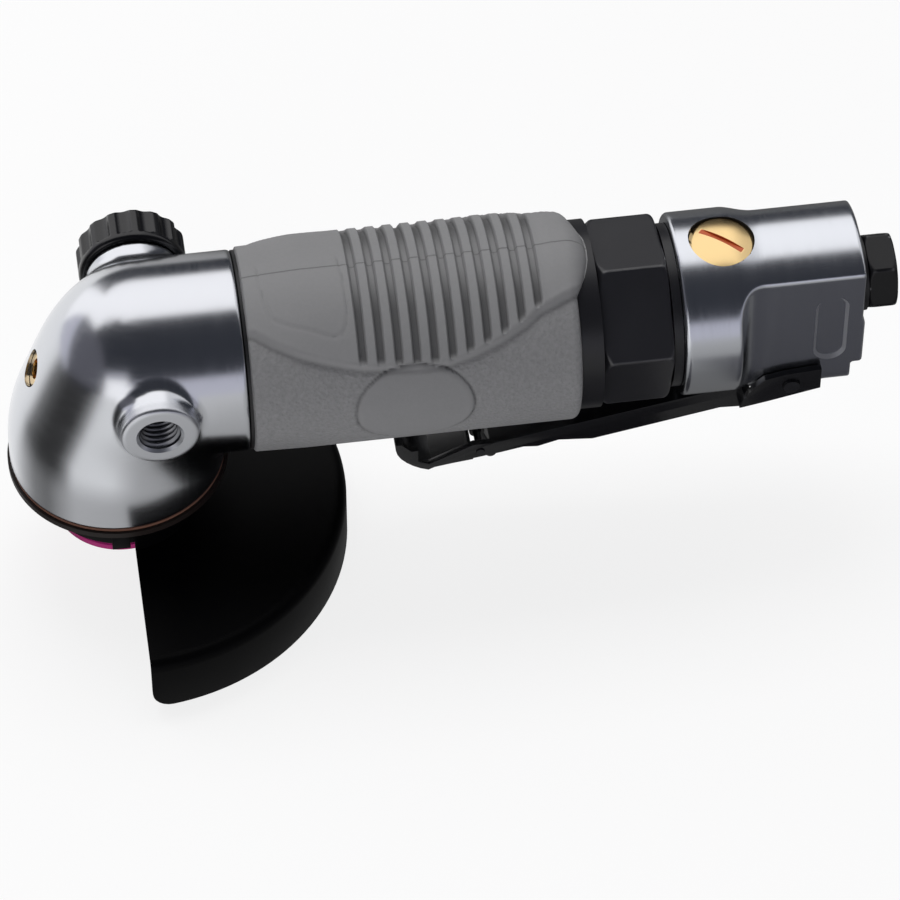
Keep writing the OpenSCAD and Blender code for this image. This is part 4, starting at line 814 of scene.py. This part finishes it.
# %% Port thread
def rolled(name, along, around, shape):
    """A grid whose vertices go to shape(u, v), u and v from 0 to 1, v going round."""
    clear()
    bpy.ops.mesh.primitive_grid_add(x_subdivisions=along, y_subdivisions=around, size=2)
    obj = bpy.context.object
    obj.name = name
    uv = (points_of(obj)[:, :2] + 1) / 2
    obj.data.vertices.foreach_set("co", (shape(uv[:, 0], uv[:, 1]) * MM).ravel())
    obj.data.update()
    return obj


DEPTH, PITCH = 11.6, 1.5


def screw_wall(u, v):
    depth, turn = u * DEPTH, v * 2 * np.pi
    wave = np.abs(((depth / PITCH - v) % 1.0) * 2 - 1)
    fade = np.clip(depth / 1.2, 0, 1) * np.clip((DEPTH - depth) / 0.8, 0, 1)
    r = 5.0 - 0.85 * np.clip(wave * 1.3 - 0.15, 0, 1) * fade
    return np.stack([PORT_X + r * np.cos(turn), -27.0 + depth, PORT_Z + r * np.sin(turn)], axis=1)


thread = rolled("port_thread", 116, 96, screw_wall)
tidy(thread, 1e-6)
modify(thread, "SOLIDIFY", thickness=0.3 * MM, offset=1.0, use_even_offset=False)
shade(thread, 60)
# Painted shade: the dark metal stands for the shade inside the port's bore.
settle(thread, "tool", "cast_aluminium", shaded_thread_metal)

# %% [markdown]
# ## Grip
# The grip is a moulded sleeve: a stippled lower zone, a smooth raised pad on top
# with eleven grooves that fade out at the pad's edge, a bulge at the rear, an oval
# place for a badge and the outline of a panel. A fine grid is rolled round the motor
# and its radius is worked out at each vertex from these features.

# %% Grip: outline of the pad
# Both lines are (x in mm, degrees from the top). An angle times ARC_R is a length.
PAD_EDGE = np.array([(30.5, 33.5), (33.5, 34.9), (37.9, 41.9), (43.6, 48.7), (49.3, 53.4), (55, 57.3),
                     (58.6, 59.2), (66.9, 61.0), (73, 61.9), (78.7, 61.5), (84.8, 57.6), (91, 52),
                     (97.3, 44.6), (101.1, 38.2), (104.5, 35.2), (107.4, 32.4), (109.4, 30.8),
                     (112, 28.5), (116, 26)])
PANEL = np.array([(36.1, -7), (36.1, -1.7), (36.2, 6.8), (36.7, 18), (38, 27.5), (41.5, 31.4),
                  (47.1, 35.6), (50.2, 38.6), (52.2, 40), (54.0, 38.7), (55.1, 35.5), (55.8, 27.7),
                  (55.9, 10.7), (55.5, 0.8), (55.2, -7)])
ARC_R = 25.5


def step(t):
    t = np.clip(t, 0, 1)
    return t * t * (3 - 2 * t)


def off_line(x, arc_mm, line):
    """Least distance in mm from the points to a line given as (x, degrees)."""
    q = np.stack([line[:, 0], np.radians(line[:, 1]) * ARC_R], axis=1)
    best = np.full(x.shape, 99.0)
    for a, b in zip(q[:-1], q[1:]):
        d = b - a
        t = np.clip(((x - a[0]) * d[0] + (arc_mm - a[1]) * d[1]) / (d @ d), 0, 1)
        best = np.minimum(best, np.hypot(x - a[0] - t * d[0], arc_mm - a[1] - t * d[1]))
    return best


# %% Grip: radius at each place
GROOVE_COUNT, GROOVE_X, GROOVE_STEP = 11, 58.3, 4.27
OVAL_X, OVAL_ANGLE, OVAL_LONG, OVAL_HIGH = 70.2, 88, 13.3, 12.3


def grip_radius(x, angle):
    """angle: degrees from the top, towards the camera's side."""
    side = np.abs(angle)
    edge = np.interp(x, PAD_EDGE[:, 0], PAD_EDGE[:, 1])
    inside = off_line(x, np.radians(side) * ARC_R, PAD_EDGE) * np.where(side < edge, 1, -1)
    body = np.interp(x, [31.8, 32.3, 44.3, 110.6], [24.5, 24.7, 25.0, 25.0])
    lift = np.interp(x, [31.8, 36, 45.7, 103.3, 106, 115], [0.5, 0.85, 1.2, 1.2, 1.58, 1.58])
    pad = step((inside + 0.3) / 1.7)
    r = body + lift * pad
    # A crease outside the pad's edge and a lip inside it.
    r -= 0.24 * np.exp(-((inside + 0.8) / 0.6) ** 2)
    r += 0.12 * np.exp(-((inside - 1.5) / 0.7) ** 2)
    fade = step((inside - 0.9) / 1.6)
    groove = np.zeros(x.shape)
    for i in range(GROOVE_COUNT):
        off = np.abs(x - (GROOVE_X + GROOVE_STEP * i))
        groove = np.maximum(groove, step((1.15 - off) / 0.65))
    groove = groove * fade
    r -= 1.3 * groove
    oval = np.hypot((x - OVAL_X) / OVAL_LONG, np.radians(side - OVAL_ANGLE) * ARC_R / OVAL_HIGH)
    r = np.where(oval < 1.07, 25.38 - 0.3 * step((oval - 0.97) / 0.1), r)
    r -= 0.26 * np.exp(-((oval - 1.075) / 0.022) ** 2)
    r -= 0.3 * np.exp(-(off_line(x, np.radians(angle) * ARC_R, PANEL) / 0.3) ** 2)
    rough = (1 - step((inside + 1.4) / 1.2)) * (oval > 1.06)
    # Painted shade, not the rubber's colour: the grooves, more so away from the top, and the creases round
    # the pad and the oval are darkened.
    crease = np.exp(-((inside + 0.8) / 0.5) ** 2) * 0.3 + np.exp(-((oval - 1.075) / 0.025) ** 2) * 0.4
    groove_shade = np.maximum(groove * (0.15 + 0.55 * step((side - 4) / 26)), crease * (side < 140))
    return r, rough, groove_shade


# %% Grip: the rolled sleeve
FIRST, FINE, LAST, END = 31.8, 56.165, 103.135, 114.6
rows = np.concatenate([np.linspace(FIRST, FINE, 59)[:-1], np.linspace(FINE, LAST, 155)[:-1],
                       np.linspace(LAST, END, 37)])
AROUND = 280


def grip_shape(u, v):
    x = np.interp(u, np.linspace(0, 1, len(rows)), rows)
    angle = (v * 360 + 180) % 360 - 180
    side = np.abs(angle)
    end = np.interp(side, [0, 8, 13, 19, 26, 31, 180], [114.6, 114.4, 113.9, 113.1, 111.7, 110.6, 110.6])
    x = np.where(x > LAST, LAST + (x - LAST) * (end - LAST) / (END - LAST), x)
    r = grip_radius(x, angle)[0]
    nose = np.interp(side, [0, 16, 33, 180], [5.6, 5.2, 2.2, 2.0])
    left = np.minimum(end - x, nose)
    r = r - (nose - np.sqrt(np.maximum(nose ** 2 - (nose - left) ** 2, 0)))
    lip = np.clip(0.5 - (x - FIRST), 0, 0.5)
    r = r - (0.5 - np.sqrt(np.maximum(0.25 - lip ** 2, 0)))
    a = np.radians(angle)
    return np.stack([x, -r * np.sin(a), AXIS + r * np.cos(a)], axis=1)


grip = rolled("grip", len(rows) - 1, AROUND, grip_shape)
tidy(grip, 1e-6)
p = points_of(grip) / MM
_, rough, groove_shade = grip_radius(p[:, 0], np.degrees(np.arctan2(-p[:, 1], p[:, 2] - AXIS)))
for name, values in (("stipple", rough), ("groove_shade", groove_shade)):
    grip.data.attributes.new(name, "FLOAT", "POINT").data.foreach_set("value", values.astype(np.float32))
print("grip:", len(rough), "vertices,", round(float(rough.mean()), 2), "of it stippled")

# %% [markdown]
# The sleeve is still a single skin. Its two open ends are extruded inwards onto the
# bore and joined along it, so the rubber has its real thickness.

# %% Grip: ends and bore
def boundary_rings(obj):
    edit(obj, "EDGE", "DESELECT")
    bpy.ops.mesh.select_non_manifold(extend=False, use_boundary=True, use_wire=False, use_multi_face=False,
                                     use_non_contiguous=False, use_verts=False)


def ring_to_radius(obj, low_x, high_x, radius, x_to=None):
    mesh = bmesh.from_edit_mesh(obj.data)
    for v in mesh.verts:
        if v.select and low_x <= v.co.x / MM <= high_x:
            out = Vector((0, v.co.y, v.co.z - AXIS * MM)).normalized() * radius * MM
            v.co = Vector((v.co.x if x_to is None else x_to * MM, out.y, out.z + AXIS * MM))
    bmesh.update_edit_mesh(obj.data)


boundary_rings(grip)
bpy.ops.mesh.extrude_edges_move()
ring_to_radius(grip, 31, 40, 23.35)
ring_to_radius(grip, 100, 120, 22.9)
bpy.ops.mesh.extrude_edges_move()
ring_to_radius(grip, 31, 40, 23.3, 40.0)
ring_to_radius(grip, 100, 120, 22.87, 104.0)
bpy.ops.mesh.bridge_edge_loops()
bpy.ops.mesh.select_all(action="SELECT")
bpy.ops.mesh.normals_make_consistent(inside=False)
done()
shade(grip, 45)
settle(grip, "tool", "grip_rubber", rubber, "grip_sleeve")

# %% [markdown]
# ## Coupling nut and inlet bushing
# Both are hexagons whose corners are turned off on a lathe, which leaves a curved
# edge on every flat. A hexagon and a cone have simple distances. The softer of the
# two maxima gives the worn edge, so a rough prism is remeshed and settled on it.

# %% Hexagons
def hexagon(y, z, across_flats, turn):
    """Distance to a hexagon in the section plane; turn is its first corner, from +Z."""
    away = np.full(y.shape, -99.0)
    for i in range(6):
        a = math.radians(turn + 30 + 60 * i)
        away = np.maximum(away, z * -math.cos(a) + y * math.sin(a) - across_flats / 2)
    return away


NUT_FRONT, NUT_REAR, NUT_BORE = 116.2, 133.2, 17.0
HEX_FRONT, HEX_REAR, INLET_BORE, INLET_Z = 182.5, 189.6, 6.5, 55.5


def nut_distance(p):
    x, y, z = p[:, 0], p[:, 1], p[:, 2] - AXIS
    r = np.hypot(y, z)
    front = (r - 20.92 - (x - NUT_FRONT)) * 0.707
    rear = (r - 21.4 - (NUT_REAR - x) * 1.1) * 0.672
    body = soft_max(hexagon(y, z, 39.0, 16.8), np.maximum(front, rear), 0.5)
    body = soft_max(body, np.maximum(NUT_FRONT - x, x - NUT_REAR), 0.6)
    return soft_max(body, NUT_BORE - r, 0.3)


nut = rod("coupling_nut", (NUT_FRONT, 0, AXIS), (NUT_REAR, 0, AXIS), 21.8, sides=96)
cut(nut, rod("c", (110, 0, AXIS), (140, 0, AXIS), NUT_BORE, sides=96))
settle_skin(nut, nut_distance, 0.36, 4)
shade(nut, 50)
settle(nut, "tool", "blackened", nut_black, "coupling_nut")


def bushing_distance(p):
    x, y, z = p[:, 0], p[:, 1], p[:, 2] - INLET_Z
    r = np.hypot(y, z)
    cone = np.maximum(r - 8.85 - (x - HEX_FRONT) * 1.1, r - 8.85 - (HEX_REAR - x) * 1.1) * 0.672
    body = soft_max(hexagon(y, z, 17.4, 42.9), cone, 0.4)
    body = soft_max(body, np.maximum(HEX_FRONT - x, x - HEX_REAR), 0.4)
    neck = post(r, x, 8.1, 170.6, 184, 0.3)
    return soft_max(soft_min(body, neck, 0.3), INLET_BORE - r, 0.4)


bushing = join("inlet_bushing", [rod("a", (HEX_FRONT, 0, INLET_Z), (HEX_REAR, 0, INLET_Z), 9.2),
                                 rod("b", (170.6, 0, INLET_Z), (184, 0, INLET_Z), 8.1)])
modify(bushing, "REMESH", mode="VOXEL", voxel_size=0.5 * MM)
cut(bushing, rod("c", (165, 0, INLET_Z), (195, 0, INLET_Z), INLET_BORE))
settle_skin(bushing, bushing_distance, 0.26, 3)
shade(bushing, 50)
settle(bushing, "tool", "blackened", bushing_black, "inlet_bushing")

# %% [markdown]
# ## Port knob
# The knob closes the side-handle port that isn't in use. It is a short turned body
# with fifteen scallops for the fingers and a plain band at its base. The scallops
# repeat by folding the angle, so one line makes them all.

# %% Knob
KNOB_BASE, SCALLOPS = 24.6, 15


def knob_distance(p):
    x, h, z = p[:, 0] - KNOB_X, p[:, 1] - KNOB_BASE, p[:, 2] - PORT_Z
    r, turn = np.hypot(x, z), np.arctan2(z, x)
    body = post(r, h, 13.2, 0, 9.7, 1.3)
    one = 2 * np.pi / SCALLOPS
    fold = turn - np.round(turn / one) * one
    scallop = np.hypot(r * np.cos(fold) - 14.7, r * np.sin(fold)) - 2.55
    body = soft_max(body, -soft_max(scallop, 2.1 - h, 0.6), 0.28)
    dish = post(r, h, 8.6, 8.9, 14, 0.4)
    return soft_max(body, -dish, 0.5)


knob = rod("port_knob", (KNOB_X, KNOB_BASE, PORT_Z), (KNOB_X, 34.3, PORT_Z), 13.0, sides=90)
cut(knob, rod("c", (KNOB_X, 33.5, PORT_Z), (KNOB_X, 36, PORT_Z), 8.6))
settle_skin(knob, knob_distance, 0.24, 4)
cut(knob, rod("c", (KNOB_X, 20, PORT_Z), (KNOB_X, 32.5, PORT_Z), 5.02))
shade(knob, 45)
settle(knob, "knob", "blackened", knob_plastic, "port_knob")

# %% [markdown]
# ## Valve housing
# The rear casting is round at the front and milled to two flats behind, with a
# hollow corner where they meet, and a foot for the lever's pivot below. Its
# distance is the round body, joined to two blocks and cut back to the flats.

# %% Housing: distance
FRONT, BEND, REAR, SIDE = 135.8, 156.6, 180.6, 12.5


def slab(p, low, high, edge):
    """Distance to a block with round edges."""
    q = [np.abs(p[:, i] - (low[i] + high[i]) / 2) - (high[i] - low[i]) / 2 + edge for i in range(3)]
    out = np.sqrt(sum(np.maximum(c, 0) ** 2 for c in q))
    return out + np.minimum(np.maximum(np.maximum(q[0], q[1]), q[2]), 0) - edge


def housing_distance(p):
    x, y, z = p.T
    r = np.hypot(y, z - AXIS)
    swell = 21.2 + (1 - step((x - 149.2) / 8.2))
    body = post(r - swell, x, 0, FRONT, REAR, 1.1)
    body = soft_min(body, slab(p, (146, -SIDE, 29.2), (170.0, SIDE, AXIS), 0.6), 1.0)
    body = soft_min(body, slab(p, (165, -SIDE, 31.5), (REAR, SIDE, AXIS), 0.9), 2.4)
    u, v = BEND - x, 19.5 - np.abs(y)
    flats = np.hypot(np.maximum(u, 0), np.maximum(v, 0)) + np.minimum(np.maximum(u, v), 0) - 7
    body = soft_max(body, -flats, 0.8)
    body = soft_max(body, -np.maximum(x - BEND, z - 31.6), 0.8)
    return soft_max(body, -soft_max(178.4 - x, z - 37.0, 1.0), 0.6)


# %% Housing: skin and bores
housing = rod("valve_housing", (FRONT, 0, AXIS), (REAR, 0, AXIS), 21.6, sides=96)
cut(housing, block("c", (152, SIDE, 0), (200, 60, 100)), block("c", (152, -60, 0), (200, -SIDE, 100)),
    block("c", (130, -60, 0), (BEND, 60, 31.6)), block("c", (178.4, -60, 0), (200, 60, 37)))
combine(housing, block("b", (BEND, -SIDE, 29.2), (170, SIDE, AXIS)), "UNION")
combine(housing, block("b", (165, -SIDE, 31.5), (178.4, SIDE, AXIS)), "UNION")
settle_skin(housing, housing_distance, 0.42, 4)
spigot_line = [(119.9, 4), (119.9, 13.2), (126, 13.3), (128, 16.55), (138, 16.55), (138, 4)]
join("valve_housing", [housing, turned("spigot", spigot_line)])
VALVE = 147.2
cut(housing, *[rod("c", (VALVE, 0, low), (VALVE, 0, high), r) for low, high, r in (
    (70.7, 80, 8.0), (63.9, 75, 6.93), (45, 64.5, 6.4), (30, 46, 2.25), (30, 34.6, 3.8))])
cut(housing, rod("c", (169.6, 0, INLET_Z), (185, 0, INLET_Z), 8.12),
    rod("c", (VALVE, 0, INLET_Z), (172, 0, INLET_Z), 4.6),
    rod("c", (163.6, -30, 32.9), (163.6, 30, 32.9), 2.0, sides=32))
cut(housing, *[rod("c", (150, s * 7.6, 41.2), (185, s * 7.6, 41.2), 2.1, sides=32) for s in (-1, 1)])


def slot_ring(cx, cz, half_w, half_h, y, grow=0.0):
    """Outline of an upright slot with round ends, drawn at y."""
    high, low, r = cz + half_h - half_w, cz - half_h + half_w, half_w + grow
    angles = [2 * math.pi * (i + 0.5) / 48 for i in range(48)]
    return [(cx + r * math.cos(a), y, (high if math.sin(a) >= 0 else low) + r * math.sin(a)) for a in angles]


RECESS = (172.8, 50.3, 3.3, 10.4)
cut(housing, loft("slot", slot_ring(*RECESS, -13.0, 1.2), slot_ring(*RECESS, -11.7)))
shade(housing, 42)
settle(housing, "tool", "cast_aluminium", housing_metal, "valve_housing")
# Painted shadow in the gap round the plug, and a painted highlight on the rim of the recess.
housing.data.materials.append(gap_dark)
housing.data.materials.append(recess_rim_highlight)
for face in housing.data.polygons:
    c = face.center / MM
    if math.hypot(c.x - VALVE, c.y) < 8.05 and 70.55 < c.z < 72.2:
        face.material_index = 1
    # Painted highlight: the sloping rim of the recess gets the lighter grey.
    if c.y < -11.75 and 167 < c.x < 179 and 38 < c.z < 63 and 0.3 < abs(face.normal.y) < 0.95:
        face.material_index = 2

# %% [markdown]
# ## Valve plug
# A brass plug closes the valve's chamber. Its low dome has a driver's slot, which
# runs out before the edge because its floor is flat. The maker fills it with a red
# locking lacquer. The plug sits a little below the rim, and the gap round it is
# painted dark as shadow, so a dark ring is seen.

# %% Plug
PLUG_R, PLUG_RIM, SLOT_TURN = 7.8, 71.4, math.radians(40)
dome_line = [(PLUG_RIM + 1.3 * (1 - (r / PLUG_R) ** 2), r)
             for r in (PLUG_R, 7.5, 6.9, 6.2, 5.4, 4.5, 3.6, 2.7, 1.8, 0.8, 0)]
shank_line = [(70.0, 0), (70.0, 5.4), (64.3, 5.4), (64.3, 6.9), (70.75, 6.9), (70.75, PLUG_R)]
plug = turned("valve_plug", shank_line + dome_line, VALVE)
slot = block("slot", (-10, -0.75, 71.95), (10, 0.75, 75))
slot.rotation_euler = (0, 0, -SLOT_TURN)
slot.location = (VALVE * MM, 0, 0)
combine(plug, place(slot))
shade(plug, 40)
settle(plug, "tool", "brass", brass, "valve_plug")
plug.data.materials.append(slot_red)
for face in plug.data.polygons:
    c = face.center / MM - Vector((VALVE, 0, 0))
    across = abs(c.x * math.sin(SLOT_TURN) + c.y * math.cos(SLOT_TURN))
    slot_floor = across < 0.7 and face.normal.z > 0.99 and c.z < 72.0
    if c.z > 71.7 and (slot_floor or abs(face.normal.z) < 0.05):
        face.material_index = 1

# %% [markdown]
# ## Sheet parts with their solids as a start
# The guard, the lever and the catch are bent or spun sheet. Their solids already
# have the right lines, so a copy of each is merged and its edges are bevelled. The
# lever's two walls are also cut down in front, where its pan curls up.

# %% Sheet parts
def prism(name, line, y0, y1):
    """A closed outline in the XZ plane, drawn out from y0 to y1."""
    return loft(name, *[[(x, y, z) for x, z in line] for y in (y0, y1)])


guard = copy_of("guard", "guard_sheet")
soften(guard, 0.35, 32)
shade(guard, 32)
settle(guard, "guard", "blackened", guard_black, "guard")
lever = copy_of("lever", "lever_sheet")
wedge = [(86.6, 18.2), (86.6, 30), (72.6, 30), (72.6, 13.9), (75.4, 12.6)]
cut(lever, *[prism("wedge", wedge, y, y + 2) for y in (-10.2, 8.2)])
soften(lever, 0.45, 28)
pan_line = [(67.9, 19.5), (68.2, 17.6), (69.0, 15.9), (70.2, 14.4), (71.6, 13.1), (73.4, 11.9),
            (75.3, 11.0), (77, 11.2), (81, 11.9), (86.2, 12.6), (86.2, 13.2), (85.8, 13.5), (85.7, 17.6),
            (84.9, 17.6), (84.8, 14.0), (81, 13.0), (77, 12.5), (75.9, 12.3), (74.1, 13.1),
            (72.6, 14.1), (71.3, 15.2), (70.2, 16.5), (69.4, 17.9), (69.0, 19.5)]
join("lever_sheet", [lever, prism("pan", pan_line, -9.9, 9.9)])
shade(lever, 32)
settle(lever, "lever", "blackened", lever_black, "lever")
catch = copy_of("safety_catch", "catch_blade")
soften(catch, 0.3, 32)
shade(catch, 32)
settle(catch, "catch", "blackened", lever_black, "safety_catch")
nodes["bearing_cap"].data.materials[0] = cap_brown
for name in ("lever_pin", "catch_pin", "catch_spring"):
    nodes[name].data.materials[0] = blackened
